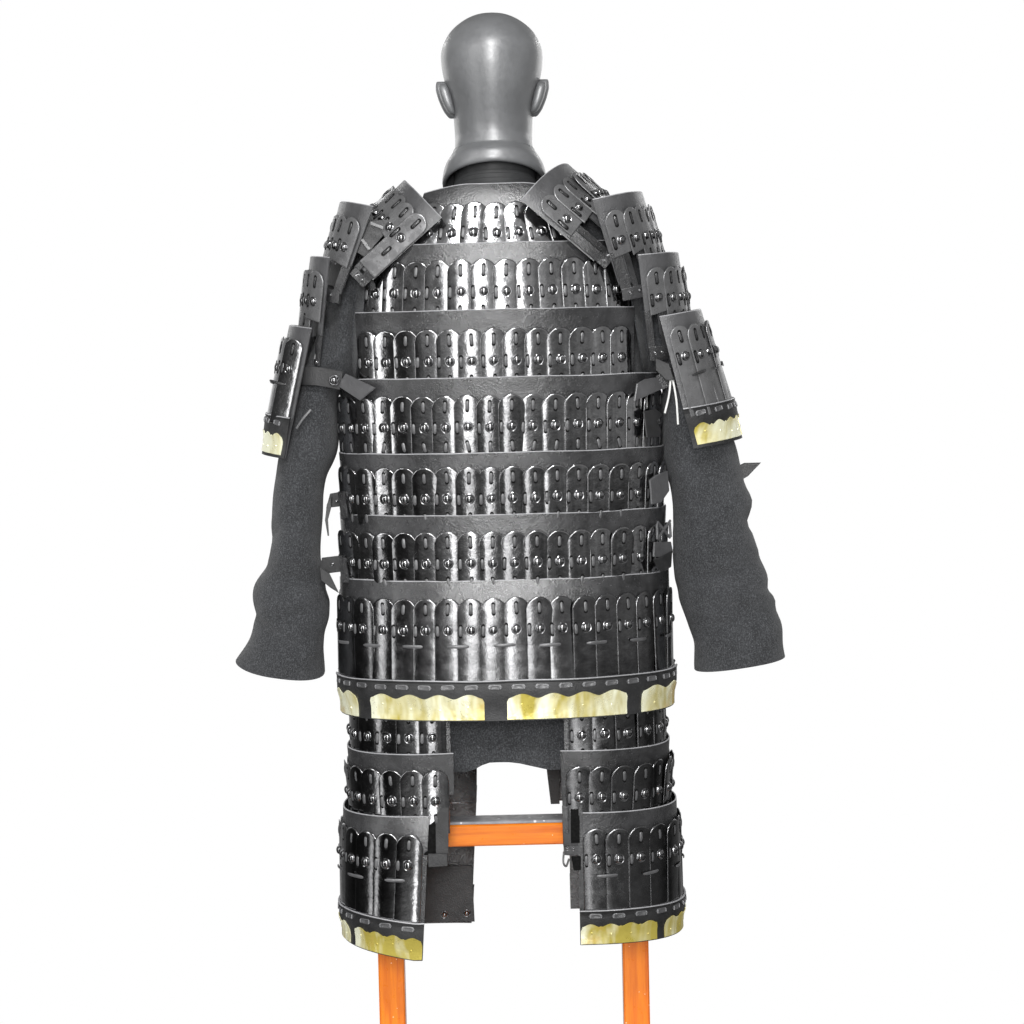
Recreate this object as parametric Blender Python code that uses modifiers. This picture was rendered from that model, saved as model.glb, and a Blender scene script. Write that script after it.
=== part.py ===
"""Lamellar armour on a limbless dress form and a wooden stand.

Rows of steel plates on leather strips make a back and a front panel, four guards on each
arm and a three-row guard round each thigh. They are worn over a wool coat with long sleeves.
A smooth form with a head fills the coat and stands on two posts with feet.

Metres, +Z up, the floor at Z = 0. The wearer faces -Y, and the wearer's left is +X.
"""
import math
from collections import namedtuple

import bmesh
import bpy
from mathutils import Matrix, Vector

NAME = "lamellar_armour"

# ---------------------------------------------------------------- driving dimensions
GAP = 0.0003            # clearance between pieces that meet
LAYER_GAP = 0.0005      # clearance between the curved layers of a row
LEATHER = 0.0022        # thickness of a row's leather strip
STEEL = 0.0034          # depth of a row of overlapping dished plates
WOOL = 0.0025           # thickness of the coat's cloth
TORSO_POWER = 2.4       # roundness of the torso's cross-sections (2 is an ellipse)
THIGH_POWER = 2.5
ARM_POWER = 2.1
SIDE_GAP = math.radians(6.0)    # half of the open side between the back and front panels
SEAM = math.radians(0.12)       # half of the coat's side seam

ARMHOLE_LOW = 1.315     # the coat's armhole, from its lowest to its highest point
ARMHOLE_HIGH = 1.496
NECKLINE_DROP = 0.036   # how far the coat's neckline dips at the front
NECKLINE_RINGS = 3      # how many of the coat's top rings follow the dip
ARMHOLE_SPREAD = math.radians(32.0)
ARMHOLE_SQUARENESS = 0.6        # how quickly the armhole opens from its ends

POST_SPACING = 0.350
POST_WIDTH = 0.037
POST_DEPTH = 0.042
CROSSBAR_BOTTOM = 0.614
CROSSBAR_HEIGHT = 0.031
CROSSBAR_DEPTH = 0.052
RAIL_HEIGHT = 0.004
RAIL_DEPTH = 0.050
FOOT_LENGTH = 0.460
FOOT_WIDTH = 0.060
FOOT_HEIGHT = 0.045
WOOD_BEVEL = 0.002
FORM_BASE = 0.800

# Inner face of the armour's strips: height, half width, half depth.
ARMOUR_SECTIONS = (
    (0.800, 0.2330, 0.1520),
    (0.900, 0.2280, 0.1440),
    (1.000, 0.2230, 0.1350),
    (1.100, 0.2205, 0.1330),
    (1.200, 0.2190, 0.1350),
    (1.300, 0.2160, 0.1380),
    (1.380, 0.2120, 0.1360),
    (1.450, 0.2020, 0.1260),
    (1.500, 0.1800, 0.1110),
    (1.560, 0.1400, 0.0840),
)

# Outer face of the coat's body: height, half width, half depth.
COAT_SECTIONS = (
    (0.742, 0.2030, 0.1060),
    (0.800, 0.2010, 0.1070),
    (0.900, 0.1990, 0.1090),
    (1.000, 0.1990, 0.1120),
    (1.100, 0.2000, 0.1150),
    (1.200, 0.2020, 0.1200),
    (1.280, 0.2040, 0.1220),
    (1.330, 0.2040, 0.1210),
    (1.380, 0.2030, 0.1180),
    (1.430, 0.1990, 0.1110),
    (1.470, 0.1880, 0.1010),
    (1.500, 0.1620, 0.0920),
    (1.522, 0.1200, 0.0830),
    (1.538, 0.0840, 0.0760),
)

# Dress form: height, half width, half depth, shift in Y, rise of the section per metre of Y.
TORSO_FORM_SECTIONS = (
    (0.800, 0.1900, 0.0960, 0.000, 0.00),
    (0.900, 0.1820, 0.0980, 0.000, 0.00),
    (1.030, 0.1720, 0.0980, 0.000, 0.00),
    (1.150, 0.1760, 0.1040, 0.000, 0.00),
    (1.280, 0.1860, 0.1100, 0.000, 0.00),
    (1.390, 0.1860, 0.1060, 0.000, 0.00),
    (1.450, 0.1760, 0.0920, 0.000, 0.00),
    (1.488, 0.1400, 0.0800, 0.000, 0.05),
    (1.512, 0.0920, 0.0680, 0.000, 0.14),
    (1.530, 0.0640, 0.0600, 0.000, 0.28),
    (1.5522, 0.0600, 0.0580, 0.000, 0.42),
)
HEAD_SECTIONS = (
    (1.5530, 0.0745, 0.0770, 0.000, 0.42),
    (1.5620, 0.0750, 0.0775, 0.000, 0.42),
    (1.5810, 0.0690, 0.0715, -0.002, 0.34),
    (1.5960, 0.0600, 0.0640, -0.004, 0.24),
    (1.6080, 0.0560, 0.0665, -0.0115, 0.12),
    (1.6150, 0.0565, 0.0783, -0.0238, 0.07),
    (1.6280, 0.0565, 0.0820, -0.0280, 0.03),
    (1.6480, 0.0600, 0.0865, -0.0265, 0.00),
    (1.6720, 0.0660, 0.0925, -0.0245, 0.00),
    (1.7000, 0.0715, 0.0960, -0.022, 0.00),
    (1.7280, 0.0735, 0.0970, -0.020, 0.00),
    (1.7540, 0.0700, 0.0910, -0.018, 0.00),
    (1.7760, 0.0600, 0.0770, -0.016, 0.00),
    (1.7910, 0.0430, 0.0550, -0.014, 0.00),
    (1.7990, 0.0210, 0.0280, -0.012, 0.00),
)
EAR_CENTRE = (0.0720, -0.006, 1.671)
EAR_SIZE = (0.020, 0.036, 0.058)

# Torso rows, from the collar down: top, bottom, top and bottom of the plates, how far the top
# edge stands outside the bottom edge, and the half width of a row that stops at the armhole
# (None: it reaches round to the side).
TORSO_ROWS = (
    (1, 1.548, 1.446, 1.521, 1.444, 0.008, 0.108),
    (2, 1.466, 1.355, 1.443, 1.353, 0.014, 0.178),
    (3, 1.375, 1.263, 1.349, 1.261, 0.011, 0.190),
    (4, 1.283, 1.160, 1.259, 1.158, 0.009, None),
    (5, 1.180, 1.075, 1.161, 1.073, 0.009, None),
    (6, 1.095, 0.985, 1.072, 0.983, 0.009, None),
    (7, 1.005, 0.812, 0.981, 0.852, 0.009, None),
)
COLLAR_DROP = {"back": 0.000, "front": 0.022}   # the front neckline is cut lower

# Thigh rows: top, bottom, top and bottom of the plates, then the half width and half depth
# of the section's inner face at the top and at the bottom, and the section's centre in X.
THIGH_CENTRE = 0.100
THIGH_ROWS = (
    (1, 0.852, 0.742, 0.829, 0.740, 0.1175, 0.1160, 0.1185, 0.1150),
    (2, 0.764, 0.653, 0.742, 0.651, 0.1280, 0.1240, 0.1195, 0.1150),
    (3, 0.677, 0.490, 0.655, 0.525, 0.1360, 0.1240, 0.1385, 0.1160),
)
THIGH_BACK_END = {"left": (0.080, 0.077, 0.112), "right": (0.078, 0.073, 0.094)}
THIGH_FRONT_END = {"left": (0.048, 0.048, 0.048), "right": (0.056, 0.060, 0.086)}

# Arm guards, from the neck down: centre of the top section (distance from the middle, height
# and shift in Y), lean of the guard towards the neck in degrees, height, half width at the top
# and at the bottom, half depth at the top and at the bottom, back end and front end in degrees
# round the arm from its outer side, and how far the front is turned down the arm.
ARM_ROWS = {
    "left": (
        (1, 0.073, 1.501, 0.000, 49.6, 0.128, 0.0780, 0.0730, 0.130, 0.113, 90.0, -88.0, 0.000),
        (2, 0.149, 1.515, 0.000, 24.4, 0.120, 0.0680, 0.0515, 0.133, 0.105, 77.0, -74.0, 0.000),
        (3, 0.210, 1.449, 0.000, 7.5, 0.112, 0.0505, 0.0530, 0.118, 0.089, 70.0, -78.0, 0.000),
        (4, 0.236, 1.352, 0.000, 14.0, 0.186, 0.0570, 0.0540, 0.100, 0.080, 70.0, -80.0, 0.000),
    ),
    "right": (
        (1, 0.034, 1.522, 0.005, 49.0, 0.130, 0.0840, 0.0800, 0.138, 0.124, 90.0, -72.0, 0.018),
        (2, 0.139, 1.522, 0.005, 16.5, 0.122, 0.0655, 0.0645, 0.149, 0.113, 96.0, -72.0, 0.000),
        (3, 0.195, 1.445, 0.002, 6.5, 0.112, 0.0580, 0.0605, 0.130, 0.093, 92.0, -76.0, 0.000),
        (4, 0.226, 1.361, 0.000, 14.0, 0.190, 0.0576, 0.0650, 0.106, 0.083, 94.0, -80.0, 0.000),
    ),
}

# Sleeves, outer face, from the armhole to the cuff: inner point and outer point of each
# section (distance from the middle and height) and half depth.
SLEEVE_TOP = (
    (0.2085, 1.325, 0.189, 1.477, 0.064),
    (0.2120, 1.312, 0.205, 1.458, 0.067),
    (0.2200, 1.303, 0.227, 1.419, 0.068),
    (0.2310, 1.297, 0.245, 1.376, 0.066),
)
SLEEVE_SECTIONS = {
    "left": SLEEVE_TOP + (
        (0.2400, 1.287, 0.262, 1.335, 0.064),
        (0.2430, 1.255, 0.290, 1.262, 0.064),
        (0.2430, 1.180, 0.312, 1.190, 0.062),
        (0.2470, 1.128, 0.3225, 1.138, 0.060),
        (0.2580, 1.075, 0.3290, 1.084, 0.057),
        (0.2585, 1.020, 0.3350, 1.030, 0.055),
        (0.2520, 0.982, 0.3575, 0.988, 0.052),
        (0.2495, 0.945, 0.3570, 0.950, 0.050),
        (0.2600, 0.910, 0.3635, 0.918, 0.048),
        (0.2580, 0.866, 0.3850, 0.886, 0.046),
    ),
    "right": SLEEVE_TOP + (
        (0.2400, 1.287, 0.262, 1.335, 0.064),
        (0.2430, 1.255, 0.294, 1.262, 0.064),
        (0.2430, 1.180, 0.327, 1.190, 0.062),
        (0.2440, 1.105, 0.3460, 1.112, 0.056),
        (0.2440, 1.020, 0.3590, 1.030, 0.052),
        (0.2470, 0.962, 0.3800, 0.975, 0.050),
        (0.2655, 0.900, 0.3970, 0.915, 0.048),
        (0.2675, 0.857, 0.3985, 0.874, 0.046),
    ),
}
SLEEVE_POWER = 2.3

# Faceting: how many columns of faces go round each kind of piece.
WRAP_COLUMNS = 18
YOKE_COLUMNS = 8
ARM_COLUMNS = 9
THIGH_COLUMNS = 16
COAT_COLUMNS = 14
SLEEVE_COLUMNS = 16
FORM_COLUMNS = 24

# Name: colour, roughness, metallic.
MATERIALS = {
    "leather": ((0.030, 0.030, 0.032), 0.42, 0.0),
    "steel": ((0.200, 0.200, 0.205), 0.18, 1.0),
    "wool": ((0.060, 0.061, 0.063), 0.95, 0.0),
    "plastic": ((0.075, 0.076, 0.078), 0.38, 0.0),
    "wood": ((0.640, 0.170, 0.020), 0.30, 0.0),
    "rail": ((0.240, 0.240, 0.250), 0.45, 0.0),
}

# A wrapped strip: its frame, the half width and half depth at its bottom and top, its height,
# its ends as angles round the section, its roundness, its lift and its skew.
Row = namedtuple("Row", "frame bottom top height back front power lift skew")


# ---------------------------------------------------------------- sections
def section_at(sections, height):
    """Half width and half depth at a height, between the table's rows."""
    for low, high in zip(sections, sections[1:]):
        if height <= high[0] or high is sections[-1]:
            share = (height - low[0]) / (high[0] - low[0])
            return tuple(a + (b - a) * share for a, b in zip(low[1:], high[1:]))
    raise ValueError("no section at %g" % height)


def signed_power(value, power):
    return math.copysign(abs(value) ** power, value)


def section_point(half_width, half_depth, angle, power, offset=0.0):
    """A point of a superellipse, moved out along its normal by an offset."""
    x = half_width * signed_power(math.cos(angle), 2.0 / power)
    y = half_depth * signed_power(math.sin(angle), 2.0 / power)
    normal = Vector((
        signed_power(x / half_width, power - 1.0) / half_width,
        signed_power(y / half_depth, power - 1.0) / half_depth,
    )).normalized()
    return x + normal.x * offset, y + normal.y * offset


def angle_at_x(x, half_width, power):
    """The angle in the back quarter at which a section reaches a distance in X."""
    share = max(-1.0, min(1.0, x / half_width))
    return math.acos(signed_power(share, power / 2.0))


def even_angles(half_width, half_depth, start, end, power, columns):
    """Angles from start to end whose points lie evenly along the section."""
    steps = 240
    angles = [start + (end - start) * i / steps for i in range(steps + 1)]
    points = [section_point(half_width, half_depth, angle, power) for angle in angles]
    lengths = [0.0]
    for here, there in zip(points, points[1:]):
        lengths.append(lengths[-1] + math.dist(here, there))
    chosen = []
    cursor = 0
    for column in range(columns + 1):
        target = lengths[-1] * column / columns
        while cursor < steps - 1 and lengths[cursor + 1] < target:
            cursor += 1
        share = (target - lengths[cursor]) / (lengths[cursor + 1] - lengths[cursor])
        chosen.append(angles[cursor] + (angles[cursor + 1] - angles[cursor]) * share)
    return chosen


# ---------------------------------------------------------------- Blender helpers
def clear_scene():
    for obj in list(bpy.data.objects):
        bpy.data.objects.remove(obj, do_unlink=True)


def make_collection(name):
    collection = bpy.data.collections.new(name)
    bpy.context.scene.collection.children.link(collection)
    return collection


def make_materials():
    materials = {}
    for name, (colour, roughness, metallic) in MATERIALS.items():
        material = bpy.data.materials.new(name)
        material.use_nodes = True
        shader = material.node_tree.nodes["Principled BSDF"]
        shader.inputs["Base Color"].default_value = (*colour, 1.0)
        shader.inputs["Roughness"].default_value = roughness
        shader.inputs["Metallic"].default_value = metallic
        materials[name] = material
    return materials


def add_object(name, bm, material, collection):
    mesh = bpy.data.meshes.new(name)
    bm.to_mesh(mesh)
    bm.free()
    mesh.materials.append(material)
    obj = bpy.data.objects.new(name, mesh)
    collection.objects.link(obj)
    return obj


def bent_grid(point_at, columns, rings, closed=False):
    """A grid bent so that its vertex (column, ring) lies at point_at(column, ring)."""
    bm = bmesh.new()
    bmesh.ops.create_grid(bm, x_segments=columns, y_segments=rings, size=0.5)
    for vert in bm.verts:
        column = round((vert.co.x + 0.5) * columns)
        ring = round((vert.co.y + 0.5) * rings)
        vert.co = point_at(column, ring)
    if closed:
        bmesh.ops.remove_doubles(bm, verts=bm.verts, dist=0.00001)
    bm.normal_update()
    centre = sum((vert.co for vert in bm.verts), Vector()) / len(bm.verts)
    outward = sum(face.normal.dot(face.calc_center_median() - centre) for face in bm.faces)
    if outward < 0.0:
        bmesh.ops.reverse_faces(bm, faces=bm.faces)
    return bm


def add_wall(obj, thickness, side):
    """Give an open surface a wall: side 1 grows outwards, side -1 inwards."""
    solidify = obj.modifiers.new("Wall", "SOLIDIFY")
    solidify.thickness = thickness
    solidify.offset = side
    solidify.use_even_offset = True
    return solidify


def add_box(name, size, centre, material, collection, bevel):
    bm = bmesh.new()
    bmesh.ops.create_cube(bm, size=1.0, matrix=Matrix.Diagonal((*size, 1.0)))
    obj = add_object(name, bm, material, collection)
    obj.location = centre
    edges = obj.modifiers.new("Edges", "BEVEL")
    edges.width = bevel
    edges.segments = 1
    return obj


# ---------------------------------------------------------------- rows of plates on leather
def row_point(row, angle, rise, offset):
    """A point of a row: rise is 0 at its bottom edge and 1 at its top edge."""
    half_width = row.bottom[0] + (row.top[0] - row.bottom[0]) * rise
    half_depth = row.bottom[1] + (row.top[1] - row.bottom[1]) * rise
    x, y = section_point(half_width, half_depth, angle, row.power, row.lift * rise + offset)
    drop = row.skew * (1.0 - math.sin(angle))
    return row.frame @ Vector((x, y, row.height * rise - drop))


def row_wall(name, row, low, high, offset, thickness, columns, material, collection, rings=1):
    """A layer of a row between two heights above its bottom edge."""
    middle = [(a + b) / 2.0 for a, b in zip(row.bottom, row.top)]
    angles = even_angles(*middle, row.back, row.front, row.power, columns)

    def point_at(column, ring):
        height = low + (high - low) * ring / rings
        return row_point(row, angles[column], height / row.height, offset)

    obj = add_object(name, bent_grid(point_at, columns, rings), material, collection)
    add_wall(obj, thickness, 1.0)
    return obj


def add_row(name, row, plates_low, plates_high, columns, materials, collection, rings=1):
    """A leather strip with its plates lying on its outer face."""
    row_wall(name + "_leather", row, 0.0, row.height, 0.0, LEATHER, columns,
             materials["leather"], collection, rings)
    row_wall(name + "_plates", row, plates_low, plates_high, LEATHER + LAYER_GAP, STEEL, columns,
             materials["steel"], collection, rings)


def torso_row(panel, top, bottom, lift, half_width):
    """The strip of one torso row, on the back or on the front."""
    facing = 1.0 if panel == "back" else -1.0
    low = section_at(ARMOUR_SECTIONS, bottom)
    high = section_at(ARMOUR_SECTIONS, top)
    if half_width is None:
        end = SIDE_GAP
    else:
        end = angle_at_x(half_width, (low[0] + high[0]) / 2.0, TORSO_POWER)
    frame = Matrix.Translation((0.0, 0.0, bottom))
    return Row(frame, low, high, top - bottom, facing * end, facing * (math.pi - end),
               TORSO_POWER, lift, 0.0)


def build_torso(materials, collection):
    for panel in ("back", "front"):
        for number, top, bottom, plates_top, plates_bottom, lift, half_width in TORSO_ROWS:
            if number == 1:
                top -= COLLAR_DROP[panel]
                plates_top -= COLLAR_DROP[panel]
            row = torso_row(panel, top, bottom, lift, half_width)
            columns = WRAP_COLUMNS if half_width is None else YOKE_COLUMNS
            add_row("torso_%s_%d" % (panel, number), row, plates_bottom - bottom,
                    plates_top - bottom, columns, materials, collection)


def build_thighs(materials, collection):
    for side, sign in (("left", 1.0), ("right", -1.0)):
        ends = zip(THIGH_ROWS, THIGH_BACK_END[side], THIGH_FRONT_END[side])
        for entry, back_end, front_end in ends:
            number, top, bottom, plates_top, plates_bottom = entry[:5]
            top_width, top_depth, bottom_width, bottom_depth = entry[5:]
            middle = (top_width + bottom_width) / 2.0
            back = angle_at_x(back_end - THIGH_CENTRE, middle, THIGH_POWER)
            front = angle_at_x(front_end - THIGH_CENTRE, middle, THIGH_POWER)
            frame = Matrix.Diagonal((sign, 1.0, 1.0, 1.0)) @ Matrix.Translation(
                (THIGH_CENTRE, 0.0, bottom))
            row = Row(frame, (bottom_width, bottom_depth), (top_width, top_depth), top - bottom,
                      back, -front, THIGH_POWER, 0.0, 0.0)
            add_row("thigh_%s_%d" % (side, number), row, plates_bottom - bottom,
                    plates_top - bottom, THIGH_COLUMNS, materials, collection)


def build_arms(materials, collection):
    """Each guard is one wall as thick as its leather and plates together."""
    for side, sign in (("left", 1.0), ("right", -1.0)):
        for entry in ARM_ROWS[side]:
            number, centre, top, shift, lean, height = entry[:6]
            top_width, bottom_width, top_depth, bottom_depth, back, front, skew = entry[6:]
            axis = Vector((-math.sin(math.radians(lean)), 0.0, math.cos(math.radians(lean))))
            out = Vector((axis.z, 0.0, -axis.x))
            base = Vector((centre, shift, top)) - axis * height
            frame = Matrix((
                (out.x, 0.0, axis.x, base.x),
                (0.0, 1.0, 0.0, base.y),
                (out.z, 0.0, axis.z, base.z),
                (0.0, 0.0, 0.0, 1.0),
            ))
            frame = Matrix.Diagonal((sign, 1.0, 1.0, 1.0)) @ frame
            row = Row(frame, (bottom_width, bottom_depth), (top_width, top_depth), height,
                      math.radians(back), math.radians(front), ARM_POWER, 0.0, skew)
            row_wall("arm_%s_%d" % (side, number), row, 0.0, height, 0.0,
                     LEATHER + LAYER_GAP + STEEL, ARM_COLUMNS, materials["steel"], collection)


# ---------------------------------------------------------------- coat
def armhole_angle(height):
    """How far the panels' side edges stand back from the side, round the armhole."""
    share = (height - ARMHOLE_LOW) / (ARMHOLE_HIGH - ARMHOLE_LOW)
    if not 0.0 < share < 1.0:
        return SEAM
    return SEAM + ARMHOLE_SPREAD * math.sin(math.pi * share) ** ARMHOLE_SQUARENESS


def build_coat_body(materials, collection):
    for panel, facing in (("back", 1.0), ("front", -1.0)):
        grids = []
        for height, half_width, half_depth in COAT_SECTIONS:
            end = armhole_angle(height)
            grids.append(even_angles(half_width, half_depth, facing * end,
                                     facing * (math.pi - end), TORSO_POWER, COAT_COLUMNS))

        def point_at(column, ring):
            height, half_width, half_depth = COAT_SECTIONS[ring]
            angle = grids[ring][column]
            x, y = section_point(half_width, half_depth, angle, TORSO_POWER)
            rings_down = len(COAT_SECTIONS) - 1 - ring
            if panel == "front" and rings_down < NECKLINE_RINGS:
                height -= NECKLINE_DROP * 0.5 ** rings_down * math.sin(angle) ** 2
            return Vector((x, y, height))

        bm = bent_grid(point_at, COAT_COLUMNS, len(COAT_SECTIONS) - 1)
        add_wall(add_object("coat_" + panel, bm, materials["wool"], collection), WOOL, -1.0)


def build_sleeves(materials, collection):
    for side, sign in (("left", 1.0), ("right", -1.0)):
        sections = SLEEVE_SECTIONS[side]

        def point_at(column, ring):
            inner_x, inner_z, outer_x, outer_z, half_depth = sections[ring]
            angle = 2.0 * math.pi * (column % SLEEVE_COLUMNS) / SLEEVE_COLUMNS
            across, depth = section_point(1.0, 1.0, angle, SLEEVE_POWER)
            share = (across + 1.0) / 2.0
            x = inner_x + (outer_x - inner_x) * share
            z = inner_z + (outer_z - inner_z) * share
            return Vector((sign * x, depth * half_depth, z))

        bm = bent_grid(point_at, SLEEVE_COLUMNS, len(sections) - 1, closed=True)
        name = "coat_sleeve_" + side
        add_wall(add_object(name, bm, materials["wool"], collection), WOOL, -1.0)


# ---------------------------------------------------------------- dress form
def solid_loft(sections, power, columns):
    """A closed solid through horizontal or slanted sections, with flat ends."""
    def point_at(column, ring):
        height, half_width, half_depth, shift, rise = sections[ring]
        angle = 2.0 * math.pi * (column % columns) / columns
        x, y = section_point(half_width, half_depth, angle, power)
        return Vector((x, y + shift, height + rise * y))

    bm = bent_grid(point_at, columns, len(sections) - 1, closed=True)
    bmesh.ops.holes_fill(bm, edges=[edge for edge in bm.edges if edge.is_boundary], sides=0)
    bmesh.ops.recalc_face_normals(bm, faces=bm.faces)
    return bm


def join_ears(head, cutters):
    """Unite two flattened spheres with the head, one on each side."""
    for sign in (1.0, -1.0):
        bm = bmesh.new()
        place = Matrix.Translation((sign * EAR_CENTRE[0], EAR_CENTRE[1], EAR_CENTRE[2]))
        bmesh.ops.create_uvsphere(bm, u_segments=12, v_segments=8, radius=0.5,
                                  matrix=place @ Matrix.Diagonal((*EAR_SIZE, 1.0)))
        ear = add_object("ear_cutter", bm, head.data.materials[0], cutters)
        ear.hide_render = True
        ear.display_type = "WIRE"
        union = head.modifiers.new("Ear", "BOOLEAN")
        union.operation = "UNION"
        union.solver = "EXACT"
        union.object = ear


def build_form(materials, collection, cutters):
    add_object("form_torso", solid_loft(TORSO_FORM_SECTIONS, TORSO_POWER, FORM_COLUMNS),
               materials["plastic"], collection)
    head = add_object("form_head", solid_loft(HEAD_SECTIONS, 2.0, FORM_COLUMNS),
                      materials["plastic"], collection)
    join_ears(head, cutters)


# ---------------------------------------------------------------- stand
def build_stand(materials, collection):
    wood = materials["wood"]
    post_low = FOOT_HEIGHT + GAP
    post_high = FORM_BASE - GAP
    for side, sign in (("left", 1.0), ("right", -1.0)):
        x = sign * POST_SPACING / 2.0
        add_box("stand_post_" + side, (POST_WIDTH, POST_DEPTH, post_high - post_low),
                (x, 0.0, (post_high + post_low) / 2.0), wood, collection, WOOD_BEVEL)
        add_box("stand_foot_" + side, (FOOT_WIDTH, FOOT_LENGTH, FOOT_HEIGHT),
                (x, 0.0, FOOT_HEIGHT / 2.0), wood, collection, WOOD_BEVEL)
    span = POST_SPACING - POST_WIDTH - 2.0 * GAP
    add_box("stand_crossbar", (span, CROSSBAR_DEPTH, CROSSBAR_HEIGHT),
            (0.0, 0.0, CROSSBAR_BOTTOM + CROSSBAR_HEIGHT / 2.0), wood, collection, WOOD_BEVEL)
    rail_low = CROSSBAR_BOTTOM + CROSSBAR_HEIGHT + GAP
    add_box("stand_rail", (span, RAIL_DEPTH, RAIL_HEIGHT),
            (0.0, 0.0, rail_low + RAIL_HEIGHT / 2.0), materials["rail"], collection,
            WOOD_BEVEL / 4.0)


def centre_over_origin(collection):
    """Shift everything in X so that the whole stands evenly over the origin."""
    reach = [max(section[2] for section in SLEEVE_SECTIONS[side]) for side in ("left", "right")]
    for obj in collection.objects:
        obj.location.x += (reach[1] - reach[0]) / 2.0


def main():
    clear_scene()
    collection = make_collection(NAME)
    cutters = make_collection("cutters")
    materials = make_materials()
    build_torso(materials, collection)
    build_arms(materials, collection)
    build_thighs(materials, collection)
    build_coat_body(materials, collection)
    build_sleeves(materials, collection)
    build_form(materials, collection, cutters)
    build_stand(materials, collection)
    centre_over_origin(collection)
    centre_over_origin(cutters)


main()
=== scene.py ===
"""The visible lamellar armour: plates, leather, cloth, form, stand and studio round its frame.

Metres, +Z up, the wearer faces -Y and the wearer's left is +X. Each row of the armour is a
leather strip bent round the body, with separate overlapping steel plates laced and riveted on.
"""
import math
import random
from collections import namedtuple

import bmesh
import bpy
import numpy as np
from mathutils import Matrix, Vector, noise


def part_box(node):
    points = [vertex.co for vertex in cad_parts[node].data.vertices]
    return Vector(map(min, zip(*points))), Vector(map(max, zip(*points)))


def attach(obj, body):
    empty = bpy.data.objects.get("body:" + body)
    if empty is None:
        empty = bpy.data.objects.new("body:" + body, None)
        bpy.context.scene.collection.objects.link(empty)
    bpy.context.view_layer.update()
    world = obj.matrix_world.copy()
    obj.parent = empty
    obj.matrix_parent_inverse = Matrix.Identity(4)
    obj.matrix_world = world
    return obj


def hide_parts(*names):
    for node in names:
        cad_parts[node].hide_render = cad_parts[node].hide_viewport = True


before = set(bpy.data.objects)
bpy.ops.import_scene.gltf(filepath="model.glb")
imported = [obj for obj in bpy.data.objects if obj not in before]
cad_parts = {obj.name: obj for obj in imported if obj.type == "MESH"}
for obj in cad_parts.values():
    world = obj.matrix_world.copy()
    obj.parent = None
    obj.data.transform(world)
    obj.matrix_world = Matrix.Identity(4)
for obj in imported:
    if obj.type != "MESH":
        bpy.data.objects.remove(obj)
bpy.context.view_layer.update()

bl_info = {
    "name": "Lamellar Armour",
    "version": (1, 0, 0),
    "blender": (4, 5, 0),
    "location": "View3D > Sidebar > Armour",
    "description": "Builds plates, leather, cloth, form, stand and studio round the frame",
    "category": "Object",
}

BODY = "root"
MIDDLE = (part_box("stand_post_left")[0].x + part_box("stand_post_right")[1].x) / 2.0

# ---- sizes shared with the frame
LEATHER = 0.0022        # thickness of a row's leather strip
TORSO_POWER = 2.4       # roundness of the torso's cross-sections (2 is an ellipse)
THIGH_POWER = 2.5
ARM_POWER = 2.1
SLEEVE_POWER = 2.3
SIDE_GAP = math.radians(6.0)

# Inner face of the armour's strips: height, half width, half depth.
ARMOUR_SECTIONS = (
    (0.8, 0.233, 0.152),
    (0.9, 0.228, 0.144),
    (1.0, 0.223, 0.135),
    (1.1, 0.2205, 0.133),
    (1.2, 0.219, 0.135),
    (1.3, 0.216, 0.138),
    (1.38, 0.212, 0.136),
    (1.45, 0.202, 0.126),
    (1.5, 0.18, 0.111),
    (1.56, 0.14, 0.084),
)

# Torso rows, from the collar down: top, bottom, top and bottom of the plates, how far the top
# edge stands outside the bottom edge, and the half width of a row that stops at the armhole.
TORSO_ROWS = (
    (1, 1.548, 1.446, 1.521, 1.444, 0.008, 0.108),
    (2, 1.466, 1.355, 1.443, 1.353, 0.014, 0.178),
    (3, 1.375, 1.263, 1.349, 1.261, 0.011, 0.19),
    (4, 1.283, 1.16, 1.259, 1.158, 0.009, None),
    (5, 1.18, 1.075, 1.161, 1.073, 0.009, None),
    (6, 1.095, 0.985, 1.072, 0.983, 0.009, None),
    (7, 1.005, 0.812, 0.981, 0.852, 0.009, None),
)
COLLAR_DROP = {"back": 0.0, "front": 0.022}

# Thigh rows: top, bottom, top and bottom of the plates, then the half width and half depth
# of the section's inner face at the top and at the bottom.
THIGH_CENTRE = 0.1
THIGH_ROWS = (
    (1, 0.852, 0.742, 0.829, 0.74, 0.1175, 0.116, 0.1185, 0.115),
    (2, 0.764, 0.653, 0.742, 0.651, 0.128, 0.124, 0.1195, 0.115),
    (3, 0.677, 0.49, 0.655, 0.525, 0.136, 0.124, 0.1385, 0.116),
)
# Where the two ends of rows 1 to 3 lie, as a distance from the middle.
THIGH_BACK_END = {"left": (0.08, 0.077, 0.112), "right": (0.078, 0.073, 0.094)}
THIGH_FRONT_END = {"left": (0.048, 0.048, 0.048), "right": (0.056, 0.06, 0.086)}

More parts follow.
